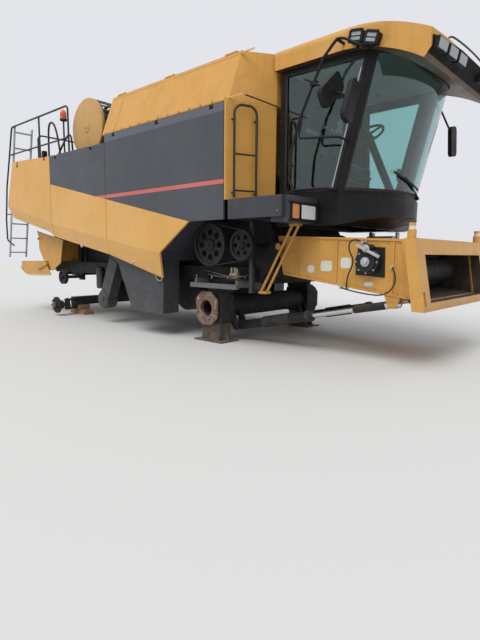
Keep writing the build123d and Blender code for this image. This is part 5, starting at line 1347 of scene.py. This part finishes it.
LAMP_PEAK = 3.5195
shape = bmesh.new()
lamp_post = Vector((AX - 3.300, -1.300, 0))
for low, high, profile in (
        (2.660, 3.345, ((0, 0.034), (0.010, 0.034), (0.016, 0.014), (1, 0.014))),
        (3.328, 3.372, ((0, 0.018), (0.12, 0.044), (0.3, 0.058), (0.8, 0.060), (1, 0.055))),
        (3.371, LAMP_PEAK, ((0, 0.0500), (0.05, 0.0515), (0.55, 0.0490), (0.75, 0.0430), (0.90, 0.0310),
                            (0.98, 0.0150), (1, 0.004)))):
    spool(shape, lamp_post + Vector((0, 0, low)), lamp_post + Vector((0, 0, high)), profile, 36)
for i in range(5):
    z = 3.388 + i * 0.016
    spool(shape, lamp_post + Vector((0, 0, z)), lamp_post + Vector((0, 0, z + 0.006)),
          ((0, 0.0500), (0.5, 0.0522), (1, 0.0500)), 36)
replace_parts(mesh_piece("orange_lamp_and_post", shape, "beacon_lens"), "beacon")
print("mirrors:", len(mirrors), "lamp's top:", LAMP_PEAK)

# %% [markdown]
# Behind the place of the front wheel the belt drive shows its pulleys. The solids have their rims and holes
# already, so this cell adds what turns a disc into a pulley: a boss, a shaft end and a ring of bolts, all in
# proportion to the pulley's own radius.

# %% Pulley bosses
BOSS_SHARE = 0.28  # a boss's radius as a share of its pulley's
PULLEYS = ((0.110, 1.270, 0.270, -1.0), (0.650, 1.260, 0.180, -1.0), (-0.700, 1.700, 0.150, -1.0),
           (-3.700, 0.720, 0.125, -1.0), (0.120, 1.230, 0.270, 1.0), (0.560, 1.300, 0.160, 1.0),
           (-2.400, 2.380, 0.190, 1.0), (-1.300, 1.500, 0.140, 1.0))
shape = bmesh.new()
boss_bolts = []
for x, z, radius, hand in PULLEYS:
    hub_r = radius * BOSS_SHARE
    spool(shape, (AX + x, hand * 1.229, z), (AX + x, hand * 1.243, z),
          ((0, hub_r * 0.98), (0.6, hub_r * 0.94), (0.9, hub_r * 0.80), (1, hub_r * 0.5)), 28)
    spool(shape, (AX + x, hand * 1.249, z), (AX + x, hand * 1.262, z),
          ((0, 0.027), (0.4, 0.027), (0.5, 0.019), (1, 0.017)), 6 if radius > 0.2 else 20)
    boss_bolts += [((AX + x + u, hand * 1.243, z + v), (0, hand, 0)) for u, v in circle(6, hub_r * 0.70)]
mesh_piece("pulley_bosses", shape, "chassis")
bolts("pulley_boss_bolts", boss_bolts, 0.007, "chassis", hands=(1,))
print("pulleys dressed:", len(PULLEYS))

# %% [markdown]
# In front of the belts a small hydraulic valve block sits on a shelf, and three pipes leave it. The pipes
# could be bent at sharp corners, but a pipe bender leaves wide curves, so each is one smooth tube from a few
# points.

# %% Hydraulic valve block, shelf and pipes
shape = bmesh.new()
brick(shape, (AX + 0.365, -1.125, 0.846), (AX + 0.490, -1.050, 0.920), 0.006)
brick(shape, (AX + 0.375, -1.115, 0.915), (AX + 0.405, -1.065, 0.990), 0.004)
for x, tall in ((0.430, 0.070), (0.465, 0.055)):
    spool(shape, (AX + x, -1.085, 0.918), (AX + x, -1.085, 0.918 + tall),
          ((0, 0.020), (0.25, 0.020), (0.3, 0.015), (0.7, 0.015), (0.75, 0.018), (1, 0.016)), 18)
for x, z in ((0.385, 0.880), (0.428, 0.880), (0.470, 0.880)):
    spool(shape, (AX + x, -1.123, z), (AX + x, -1.152, z),
          ((0, 0.014), (0.45, 0.014), (0.5, 0.010), (1, 0.010)), 6)
mesh_piece("valve_block", shape, "brass")
shape = bmesh.new()
brick(shape, (AX + 0.30, -1.170, 0.830), (AX + 0.57, -0.960, 0.846), 0.003)
brick(shape, (AX + 0.30, -0.972, 0.790), (AX + 0.57, -0.957, 0.846), 0.003)
mesh_piece("valve_shelf", shape, "chassis")
routes = (
    [(0.385, -1.150, 0.880), (0.370, -1.195, 0.882), (0.230, -1.180, 0.905), (-0.060, -1.110, 0.940),
     (-0.180, -1.030, 0.940), (-0.240, -0.945, 0.920)],
    [(0.428, -1.150, 0.880), (0.430, -1.200, 0.872), (0.300, -1.190, 0.865), (0.000, -1.130, 0.890),
     (-0.120, -1.040, 0.890), (-0.180, -0.945, 0.870)],
    [(0.470, -1.150, 0.880), (0.490, -1.195, 0.878), (0.590, -1.150, 0.880), (0.625, -1.040, 0.900),
     (0.620, -0.945, 0.900)])
for number, route in enumerate(routes, 1):
    bent_tube(f"valve_pipe_{number}", placed(route), 0.006, "pipe_zinc")
print("valve pipes:", len(routes))

# %% [markdown]
# Pipes run along any machine's frame. They could be left out, but the side of a harvester looks empty without
# them, so two smooth tubes follow each rail, held by clips at even steps. Behind them the elevators carry
# round covers and cross bars, which are turned and bar forms again.

# %% Pipes and clips along both rails, and the elevators' covers
runs = (("frame_pipe_lower", 0.830, 0.9580, 0.008), ("frame_pipe_upper", 0.855, 0.9590, 0.009))
bows = ((-0.52, 0), (-0.30, 0), (-0.10, -0.004), (0.20, 0.002), (0.50, 0), (0.66, 0))
for name, z, y, radius in runs:
    for word, hand in SIDES:
        bent_tube(f"{name}_{word}", [(AX + x, hand * y, z + bow) for x, bow in bows], radius, "rubber")
shape = bmesh.new()
for i in range(4):
    x = AX - 0.42 + i * 0.30
    brick(shape, (x, -0.972, 0.816), (x + 0.022, -0.948, 0.870), 0.003)
mirrored(shape)
mesh_piece("pipe_clips", shape, "bright_steel")

leg_y, foot_x, foot_z = -1.1815, -2.450, 0.400
shape = bmesh.new()
for share in (0.16, 0.36, 0.56, 0.76):
    x, z = foot_x + share * 0.890, foot_z + share * 1.780
    beam(shape, (AX + x - 0.105, leg_y + 0.004, z + 0.052), (AX + x + 0.105, leg_y + 0.004, z - 0.052), 0.012,
         0.020)
spool(shape, (AX + foot_x, -1.179, foot_z), (AX + foot_x, -1.192, foot_z),
      ((0, 0.138), (0.5, 0.138), (0.8, 0.126), (1, 0.060)), 36)
spool(shape, (AX + foot_x, -1.190, foot_z), (AX + foot_x, -1.215, foot_z),
      ((0, 0.045), (0.6, 0.045), (0.8, 0.025), (1, 0.022)), 20)
spool(shape, (AX - 1.560, -1.174, 2.180), (AX - 1.560, -1.190, 2.180), ((0, 0.115), (0.5, 0.112), (1, 0.040)),
      36)
mirrored(shape)
mesh_piece("elevator_covers", shape, "dark_paint")
print("frame pipes:", len(runs) * len(SIDES))

# %% [markdown]
# Walkways on farm machines are chequer plate: small raised ribs that cross each other. They could be a bump
# texture, but from a low camera real ribs catch the light, so a Geometry Nodes group sets one small rib on
# every point and turns each second one by a right angle.

# %% Chequer ribs by Geometry Nodes
WIDE_SHARE, TALL_SHARE = 0.26, 0.12  # a rib's width and height as shares of its length


def rib_group():
    """Node group that lays a small rib on every point, every second one turned by a right angle."""
    group, given = points_group("chequer_ribs", "Rib length", "Ribs")
    wide, tall = (add(group, "ShaderNodeMath", {0: given.outputs[1], 1: share},
                      operation="MULTIPLY").outputs[0]
                  for share in (WIDE_SHARE, TALL_SHARE))
    size = add(group, "ShaderNodeCombineXYZ", {0: given.outputs[1], 1: wide, 2: tall})
    rib = add(group, "GeometryNodeMeshIcoSphere", {"Radius": 0.5, "Subdivisions": 1})
    rib = add(group, "GeometryNodeTransform", {"Geometry": rib.outputs[0], "Scale": size.outputs[0]})
    parity = add(group, "ShaderNodeMath", {0: add(group, "GeometryNodeInputIndex").outputs[0], 1: 2.0},
                 operation="MODULO").outputs[0]
    angle = add(group, "ShaderNodeMath", {0: parity, 1: math.pi / 2, 2: math.pi / 4},
                operation="MULTIPLY_ADD").outputs[0]
    turn = add(group, "ShaderNodeCombineXYZ", {2: angle})
    set_on_points(group, given, rib.outputs[0], turn.outputs[0])
    return group


RIBS = rib_group()


def chequer(name, fields, pitch, length, look, body="chassis"):
    """Ribs over level fields, each given by its X range, Y range and height."""
    places = []
    for (x1, x2), (y1, y2), z in fields:
        columns, lines = int((x2 - x1) / pitch), int((y2 - y1) / pitch)
        columns -= 1 - columns % 2
        for line in range(lines):
            for column in range(columns):
                places.append((x1 + (column + 0.5) * (x2 - x1) / columns,
                               y1 + (line + 0.5) * (y2 - y1) / lines, z))
    cloud = bpy.data.meshes.new(name + "_points")
    cloud.from_pydata(places, [], [])
    grown(name, cloud, RIBS, {"Rib length": length, "Finish": finish[look]}, body)
    return len(places)


RIB_LEVEL = 2.6605
decks = [((AX - 4.84, AX - 3.10), (-1.36, 1.36), RIB_LEVEL),
         ((AX - 3.10, AX - 2.30), (0.96, 1.36), RIB_LEVEL)]
ledges = [((AX + 0.90, AX + 1.43), (middle - 0.24, middle + 0.24), 1.7705) for middle in (-1.20, 1.20)]
treads = [((AX + 1.00, AX + 1.38), (1.275, 1.455), z + 0.0285) for z in (0.890, 1.150, 1.410)]
count = chequer("deck_ribs", decks, 0.062, 0.034, "chassis")
count += chequer("ledge_ribs", ledges, 0.048, 0.030, "dark_paint")
count += chequer("step_ribs", treads, 0.036, 0.022, "ladder_steel", "boarding_ladder")
print("chequer ribs:", count)

# %% [markdown]
# The drum that keeps chaff from the radiator turns, so what sits on its face rides on it: a rim, a stiffening
# disc, a bearing cap and one welded seam. They could be grooves in the paint, but each is a sheet with an
# edge, and edges catch the light as the drum goes round.

# %% Deck: face of the drum
shape = bmesh.new()
drum = Vector((AX - 2.570, 0, 3.110))
for near, far, profile, round_sides in (
        (1.2995, 1.3035, ((0, 0.4385), (0.6, 0.4385), (1, 0.432)), 72),
        (1.3030, 1.3065, ((0, 0.190), (0.5, 0.190), (1, 0.180)), 48),
        (1.3060, 1.3170, ((0, 0.075), (0.6, 0.075), (0.8, 0.066), (1, 0.050)), 40),
        (1.3165, 1.3300, ((0, 0.019), (0.9, 0.019), (1, 0.015)), 6)):
    spool(shape, drum - Vector((0, near, 0)), drum - Vector((0, far, 0)), profile, round_sides)
seam = -1.30  # angle of the seam, in radians
beam(shape, drum + Vector((0.080 * math.cos(seam), -1.3065, 0.080 * math.sin(seam))),
     drum + Vector((0.425 * math.cos(seam), -1.3050, 0.425 * math.sin(seam))), 0.010, 0.004, up=(0, 1, 0),
     rounding=0.001)
mesh_piece("drum_face", shape, "screen_paint", "rotary_screen")
print("drum's middle:", drum)

# %% [markdown]
# Two bent pipes rise from the deck behind the drum, and a work lamp sits on the rail beside them. They are
# seen against the sky from below, so their curve matters more than their finish.

# %% Deck: pipes and work lamp
DECK_TOP = 2.661
bent_tube("deck_pipe_tall",
          placed([(-3.850, -1.300, DECK_TOP), (-3.850, -1.300, 3.000), (-3.830, -1.300, 3.330),
                  (-3.740, -1.300, 3.400), (-3.600, -1.300, 3.330), (-3.480, -1.300, 3.000),
                  (-3.420, -1.300, DECK_TOP)]), 0.016, "rubber")
bent_tube("deck_pipe_low",
          placed([(-3.780, -1.260, DECK_TOP), (-3.700, -1.260, 2.740), (-3.350, -1.255, 3.060),
                  (-3.200, -1.255, 3.130), (-3.120, -1.255, 3.020), (-3.110, -1.255, DECK_TOP)]), 0.015,
          "rubber")
shape = bmesh.new()
for x, y in ((-3.850, -1.300), (-3.420, -1.300), (-3.780, -1.260), (-3.110, -1.255)):
    spool(shape, (AX + x, y, 2.660), (AX + x, y, 2.695),
          ((0, 0.036), (0.25, 0.036), (0.3, 0.024), (1, 0.022)), 20)
brick(shape, (AX - 3.905, -1.412, 2.815), (AX - 3.825, -1.340, 2.915), 0.010)
beam(shape, (AX - 3.930, -1.405, 2.780), (AX - 3.865, -1.380, 2.820), 0.020, 0.010)
spool(shape, (AX - 3.930, -1.420, 2.770), (AX - 3.930, -1.420, 2.800), ((0, 0.019), (1, 0.019)), 16)
mesh_piece("deck_fittings", shape, "black_plastic")
shape = bmesh.new()
plate(shape, [(AX - 3.9055, -1.376 + u, 2.865 + v) for u, v in rounded(0.060, 0.084, 0.012)], (-0.005, 0, 0))
mesh_piece("deck_lamp_lens", shape, "lamp_glass")
print("deck pipes stand on", DECK_TOP)

# %% [markdown]
# High views show the air cleaner and the silencer, two lying canisters with straps, feet and ducts. Both are
# turned forms: the rolled beads and domed ends come from a few more points in the profile.

# %% Deck: air cleaner, silencer and their ducts
shape = bmesh.new()
spool(shape, (AX - 3.400, -0.420, 2.905), (AX - 3.400, 0.260, 2.905),
      ((0, 0.105), (0.02, 0.150), (0.16, 0.160), (0.17, 0.172), (0.19, 0.172), (0.20, 0.162), (0.93, 0.162),
       (0.98, 0.140), (1, 0.080)), 40)
spool(shape, (AX - 3.400, -0.435, 2.905), (AX - 3.400, -0.405, 2.905), ((0, 0.020), (0.4, 0.050), (1, 0.055)),
      20)
for y in (-0.25, 0.12):
    spool(shape, (AX - 3.400, y - 0.015, 2.905), (AX - 3.400, y + 0.015, 2.905),
          ((0, 0.162), (0.1, 0.167), (0.9, 0.167), (1, 0.162)), 40)
    plate(shape,
          placed([(-3.545, y - 0.02, DECK_TOP), (-3.255, y - 0.02, DECK_TOP), (-3.275, y - 0.02, 2.840),
                  (-3.525, y - 0.02, 2.840)]), (0, 0.006, 0))
mesh_piece("air_cleaner", shape, "black_plastic")
bent_tube("intake_duct",
          placed([(-3.400, 0.240, 2.905), (-3.400, 0.400, 2.905), (-3.330, 0.500, 2.950),
                  (-3.180, 0.500, 3.000), (-3.045, 0.500, 3.000)]), 0.055, "rubber")
bent_tube("dust_duct",
          placed([(-2.800, -0.690, 3.400), (-2.800, -0.690, 3.505), (-2.600, -0.690, 3.500),
                  (-2.300, -0.690, 3.400), (-2.150, -0.690, 3.330), (-1.895, -0.690, 3.320)]), 0.040, "rubber")

shape = bmesh.new()
spool(shape, (AX - 3.950, 0.640, 2.920), (AX - 3.160, 0.640, 2.920),
      ((0, 0.060), (0.02, 0.105), (0.05, 0.120), (0.95, 0.120), (0.98, 0.105), (1, 0.060)), 36)
for x in (-3.84, -3.55, -3.27):
    spool(shape, (AX + x - 0.014, 0.640, 2.920), (AX + x + 0.014, 0.640, 2.920),
          ((0, 0.120), (0.1, 0.126), (0.9, 0.126), (1, 0.120)), 36)
    plate(shape,
          [(AX + x - 0.004, 0.560, DECK_TOP), (AX + x - 0.004, 0.720, DECK_TOP),
           (AX + x - 0.004, 0.700, 2.830), (AX + x - 0.004, 0.580, 2.830)], (0.008, 0, 0))
mesh_piece("silencer", shape, "burnt_steel")
bent_tube("tail_pipe",
          placed([(-3.930, 0.640, 2.920), (-4.030, 0.640, 2.920), (-4.100, 0.640, 2.990),
                  (-4.100, 0.640, 3.200), (-4.130, 0.640, 3.330), (-4.220, 0.640, 3.400)]), 0.042,
          "burnt_steel")
bent_tube("exhaust_elbow", placed([(-3.180, 0.640, 2.920), (-3.110, 0.640, 2.925), (-3.045, 0.640, 2.960)]),
          0.046, "burnt_steel")
print("silencer and air cleaner are on the deck")

# %% [markdown]
# The engine sits under sheet covers with louvres: short pressed slats that let heat out and keep rain away.
# Each side cover gets a frame and its slats, and each top cover a grab handle. Bump would look flat from the
# side.

# %% Louvred covers on the engine box
COVER_FOOT, COVER_TOP = 2.74, 3.26


def louvres(shape, corner, along, up, out, width, count, pitch):
    """Add slats that lean outward from a first corner; along, up and out are unit directions."""
    corner, along, up, out = Vector(corner), Vector(along), Vector(up), Vector(out)
    for i in range(count):
        foot = corner + up * (i * pitch)
        lip = out * 0.020 - up * 0.014
        plate(shape, [foot, foot + along * width, foot + along * width + lip, foot + lip], up * 0.003)


shape = bmesh.new()
rear_x = AX - 3.052
for y1, y2 in ((-0.40, 0.16), (0.24, 0.80)):
    for a, b in four_edges(y1, y2, COVER_FOOT, COVER_TOP):
        beam(shape, (rear_x, *a), (rear_x, *b), 0.012, 0.030, up=(1, 0, 0))
    louvres(shape, (rear_x, y1 + 0.05, 2.80), (0, 1, 0), (0, 0, 1), (-1, 0, 0), y2 - y1 - 0.10, 11, 0.040)
for x1, x2 in ((-3.00, -2.68), (-2.62, -2.30)):
    for a, b in four_edges(x1, x2, COVER_FOOT, COVER_TOP):
        beam(shape, (AX + a[0], 0.902, a[1]), (AX + b[0], 0.902, b[1]), 0.012, 0.030, up=(0, 1, 0))
    louvres(shape, (AX + x1 + 0.04, 0.902, 2.80), (1, 0, 0), (0, 0, 1), (0, 1, 0), x2 - x1 - 0.08, 11, 0.040)
brick(shape, (AX - 2.96, -0.36, 3.328), (AX - 2.36, 0.20, 3.352), 0.008)
brick(shape, (AX - 2.96, 0.26, 3.328), (AX - 2.36, 0.82, 3.352), 0.008)
for y in (-0.08, 0.54):
    beam(shape, (AX - 2.74, y, 3.372), (AX - 2.58, y, 3.372), 0.014, 0.012)
    for x in (-2.73, -2.59):
        beam(shape, (AX + x, y, 3.350), (AX + x, y, 3.374), 0.012, 0.012, up=(1, 0, 0))
mesh_piece("engine_covers", shape, "dark_paint")
print("engine covers from", COVER_FOOT, "to", COVER_TOP)

# %% [markdown]
# The rear sheet leans, so its louvres are placed by a direction down the sheet and one out of it, not by X
# and Z. Tail lamps, reflectors and a bare plate for the number go round them.

# %% Rear sheet: louvres, lamps and bare plate
shape = bmesh.new()
slope = Vector((-0.200, 0, -0.585)).normalized()
face_out = Vector((-0.585, 0, 0.200)).normalized()
start = Vector((AX - 4.9045, 0, 2.574))
for y1, y2 in ((-0.62, -0.04), (0.04, 0.62)):
    corners = [start + slope * t + Vector((0, y, 0))
               for t, y in ((0.0, y1), (0.0, y2), (0.40, y2), (0.40, y1))]
    for a, b in zip(corners, corners[1:] + corners[:1]):
        beam(shape, a, b, 0.030, 0.012, up=face_out)
    low_corner = start + slope * 0.36 + Vector((0, y1 + 0.04, 0))
    louvres(shape, low_corner, (0, 1, 0), -slope, face_out, y2 - y1 - 0.08, 9, 0.038)
mesh_piece("rear_louvres", shape, "dark_paint")

shape = bmesh.new()
for y in (0.860, -1.040):
    brick(shape, (AX - 4.935, y, 2.500), (AX - 4.878, y + 0.180, 2.610), 0.008)
    brick(shape, (AX - 4.885, y + 0.070, 2.600), (AX - 4.878, y + 0.110, 2.646), 0.002)
mesh_piece("tail_lamp_cases", shape, "black_plastic")
for name, look, shift in (("tail_lamp_red", "red_lens", 0.010), ("tail_lamp_orange", "lamp_amber", 0.096)):
    shape = bmesh.new()
    for y in (0.860, -1.040):
        near = y + shift if y > 0 else y + 0.180 - shift - 0.074
        brick(shape, (AX - 4.944, near, 2.515), (AX - 4.932, near + 0.074, 2.595), 0.004)
    mesh_piece(name, shape, look)
shape = bmesh.new()
for y in (-1.08, 1.08):
    spool(shape, (AX - 5.4165, y, 0.935), (AX - 5.4225, y, 0.935), ((0, 0.034), (0.5, 0.034), (1, 0.028)), 24)
mesh_piece("rear_reflectors", shape, "red_lens")
shape = bmesh.new()
middle = start + slope * 0.47 + face_out * 0.001
plate(shape, [middle + Vector((0, u, 0)) + slope * v for u, v in rounded(0.34, 0.11, 0.012)],
      face_out * 0.002)
mesh_piece("bare_number_plate", shape, "pale_plate")
print("louvres and rear lamps are set")

# %% [markdown]
# Pressed ribs stiffen a wide sheet, and a seam shows where two sheets meet. They could be drawn as bump, but
# on the grain tank both stand a few millimetres proud, and low light picks them out. They follow the tank
# wall, which leans inward as it rises, and what is on a lid rides on that lid.

# %% Grain tank: seams, front joint, and ribs on the lids
def tank_wall(share):
    """Y and Z of the tank's right wall at a share of its height."""
    return -1.461 + share * 0.210, 2.862 + share * 0.568


shape = bmesh.new()
for x, width in ((-1.620, 0.030), (-1.590, 0.012)):
    (y1, z1), (y2, z2) = tank_wall(0.03), tank_wall(0.97)
    beam(shape, (AX + x, y1, z1), (AX + x, y2, z2), width, 0.004, up=(0, -0.94, -0.35))
for share in (0.035, 0.955):
    y, z = tank_wall(share)
    beam(shape, (AX - 1.88, y, z), (AX + 0.86, y, z), 0.004, 0.024, up=(0, 0.35, 0.94))
mesh_piece("tank_seams", shape, "yellow_paint")
shape = bmesh.new()
beam(shape, (AX + 0.903, -1.455, 2.862), (AX + 0.903, -0.900, 2.862), 0.008, 0.014)
mesh_piece("tank_front_joint", shape, "rubber")
for name, hinge_y, hand in (("right", -1.232, -1), ("left", 0.978, 1)):
    shape = bmesh.new()
    for x in (-1.45, -0.95, -0.20, 0.25):
        beam(shape, (AX + x, hinge_y - hand * 0.28, 3.4700), (AX + x, -0.127 + hand * 0.08, 3.5170), 0.060,
             0.006)
    beam(shape, (AX - 0.62, -0.127 + hand * 0.050, 3.530), (AX - 0.42, -0.127 + hand * 0.050, 3.530), 0.014,
         0.010)
    for x in (-0.61, -0.43):
        beam(shape, (AX + x, -0.127 + hand * 0.050, 3.512), (AX + x, -0.127 + hand * 0.050, 3.534), 0.012,
             0.012, up=(1, 0, 0))
    mesh_piece(f"lid_ribs_{name}", shape, "yellow_paint", f"tank_lid_{name}")
print("tank and lids dressed; wall's top at", tank_wall(1.0))

# %% [markdown]
# The unloading tube lies folded back along the left side. Its lengths are bolted together by pairs of
# flanges, and its spout ends in a flared rubber skirt. All of it rides on the tube, which swings out.

# %% Unloading tube: flanges, bolts and spout rubber
TUBE_Y, TUBE_Z = 1.298, 3.200  # the tube's middle line
FLANGES = (-2.30, -0.60, -4.20)
shape = bmesh.new()
for x in FLANGES:
    spool(shape, (AX + x - 0.035, TUBE_Y, TUBE_Z), (AX + x + 0.035, TUBE_Y, TUBE_Z),
          ((0, 0.160), (0.02, 0.176), (0.42, 0.176), (0.44, 0.166), (0.56, 0.166), (0.58, 0.176),
           (0.98, 0.176), (1, 0.160)), 48)
spool(shape, (AX + 0.180, TUBE_Y, 2.985), (AX + 0.180, TUBE_Y, 3.010),
      ((0, 0.161), (0.05, 0.178), (0.95, 0.178), (1, 0.161)), 48)
mesh_piece("tube_flanges", shape, "yellow_paint", "unloading_auger")
ring_bolts = [((AX + x - 0.036, TUBE_Y + u, TUBE_Z + v), (-1, 0, 0))
              for x in FLANGES for u, v in circle(10, 0.170, 0.5)]
bolts("tube_flange_bolts", ring_bolts, 0.007, "bright_steel", "unloading_auger", hands=(1,))
shape = bmesh.new()
spout = AX - 4.920
flare = 0.012  # how far the skirt spreads to its lower edge
for (x1, y1), (x2, y2) in four_edges(spout - 0.118, spout + 0.198, 1.150, 1.446):
    out_x, out_y = (y2 - y1), -(x2 - x1)
    size = math.hypot(out_x, out_y)
    out_x, out_y = out_x / size * flare, out_y / size * flare
    plate(shape, [(x1, y1, 2.985), (x2, y2, 2.985), (x2 + out_x, y2 + out_y, 2.868),
                  (x1 + out_x, y1 + out_y, 2.868)],
          (-out_x * 0.4, -out_y * 0.4, 0))
mesh_piece("spout_rubber", shape, "rubber", "unloading_auger")
print("flange bolts:", len(ring_bolts))

# %% [markdown]
# Low at the back are the bare hubs. Steered hubs lean a little, so their caps and rings are turned about the
# same leaning line, and not about Y. A cap rides on its hub, which spins, and the kingpin's nuts ride on the
# knuckle.

# %% Hub caps and kingpin nuts
LEAN = math.radians(1.5)
for name, hand in SIDES:
    out = Vector((0, hand * math.cos(LEAN), -math.sin(LEAN)))
    king = Vector((AX - 3.900, hand * 1.040, 0.205))
    shape = bmesh.new()
    spool(shape, king + out * 0.257, king + out * 0.2775,
          ((0, 0.058), (0.4, 0.060), (0.7, 0.057), (1, 0.050)), 36)
    spool(shape, king + out * 0.2570, king + out * 0.2705, ((0, 0.030), (0.5, 0.030), (1, 0.022)), 24)
    spool(shape, king + out * 0.200, king + out * 0.214,
          ((0, 0.120), (0.3, 0.1495), (0.7, 0.1495), (1, 0.144)), 48)
    mesh_piece(f"hub_cap_{name}", shape, "axle_rust", f"hub_{name}")
    shape = bmesh.new()
    for z in (0.315, 0.095):
        lift = 0.012 if z > 0.2 else -0.012
        spool(shape, (king.x, king.y, z - lift * 0.3), (king.x, king.y, z + lift * 0.2),
              ((0, 0.020), (1, 0.018)), 6)
    mesh_piece(f"kingpin_nuts_{name}", shape, "bright_steel", f"knuckle_{name}")
print("hubs lean", round(math.degrees(LEAN), 2), "degrees")

# %% [markdown]
# Links and pale bent rods hold the straw deflector behind the chopper, and a pair of air canisters with
# straps hangs on the frame ahead of them. Nothing new is needed: a bar, a tube and a turned form each.

# %% Spreader links and rods, air canisters
shape = bmesh.new()
beam(shape, (AX - 4.300, -1.209, 0.960), (AX - 4.640, -1.209, 0.850), 0.010, 0.030)
for x, z in ((-4.600, 1.420), (-4.300, 0.960), (-4.640, 0.850)):
    spool(shape, (AX + x, -1.198, z), (AX + x, -1.228, z),
          ((0, 0.024), (0.6, 0.024), (0.7, 0.014), (1, 0.013)), 16)
mirrored(shape)
mesh_piece("spreader_links", shape, "yellow_paint")
rod = ((-5.465, 0.850), (-5.400, 0.800), (-5.180, 0.712), (-4.900, 0.716), (-4.400, 0.728), (-4.220, 0.742))
for name, hand in SIDES:
    bent_tube(f"spreader_rod_{name}", [(AX + x, hand * 1.195, z) for x, z in rod], 0.010, "pale_plate")

shape = bmesh.new()
canister = Vector((AX - 2.700, -1.060, 0.0))
spool(shape, canister + Vector((0, 0, 0.560)), canister + Vector((0, 0, 0.930)),
      ((0, 0.040), (0.03, 0.066), (0.08, 0.070), (0.90, 0.070), (0.95, 0.064), (1, 0.030)), 32)
for z in (0.640, 0.830):
    spool(shape, canister + Vector((0, 0, z)), canister + Vector((0, 0, z + 0.020)),
          ((0, 0.070), (0.1, 0.074), (0.9, 0.074), (1, 0.070)), 32)
beam(shape, canister + Vector((0, 0.06, 0.80)), canister + Vector((0, 0.13, 0.82)), 0.060, 0.012)
mirrored(shape)
mesh_piece("air_canisters", shape, "rail_paint")

# %% [markdown]
# The last step prints the size of the dressed machine.

# %% Sizes and the end
low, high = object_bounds()
print("dressed box:", low, high)
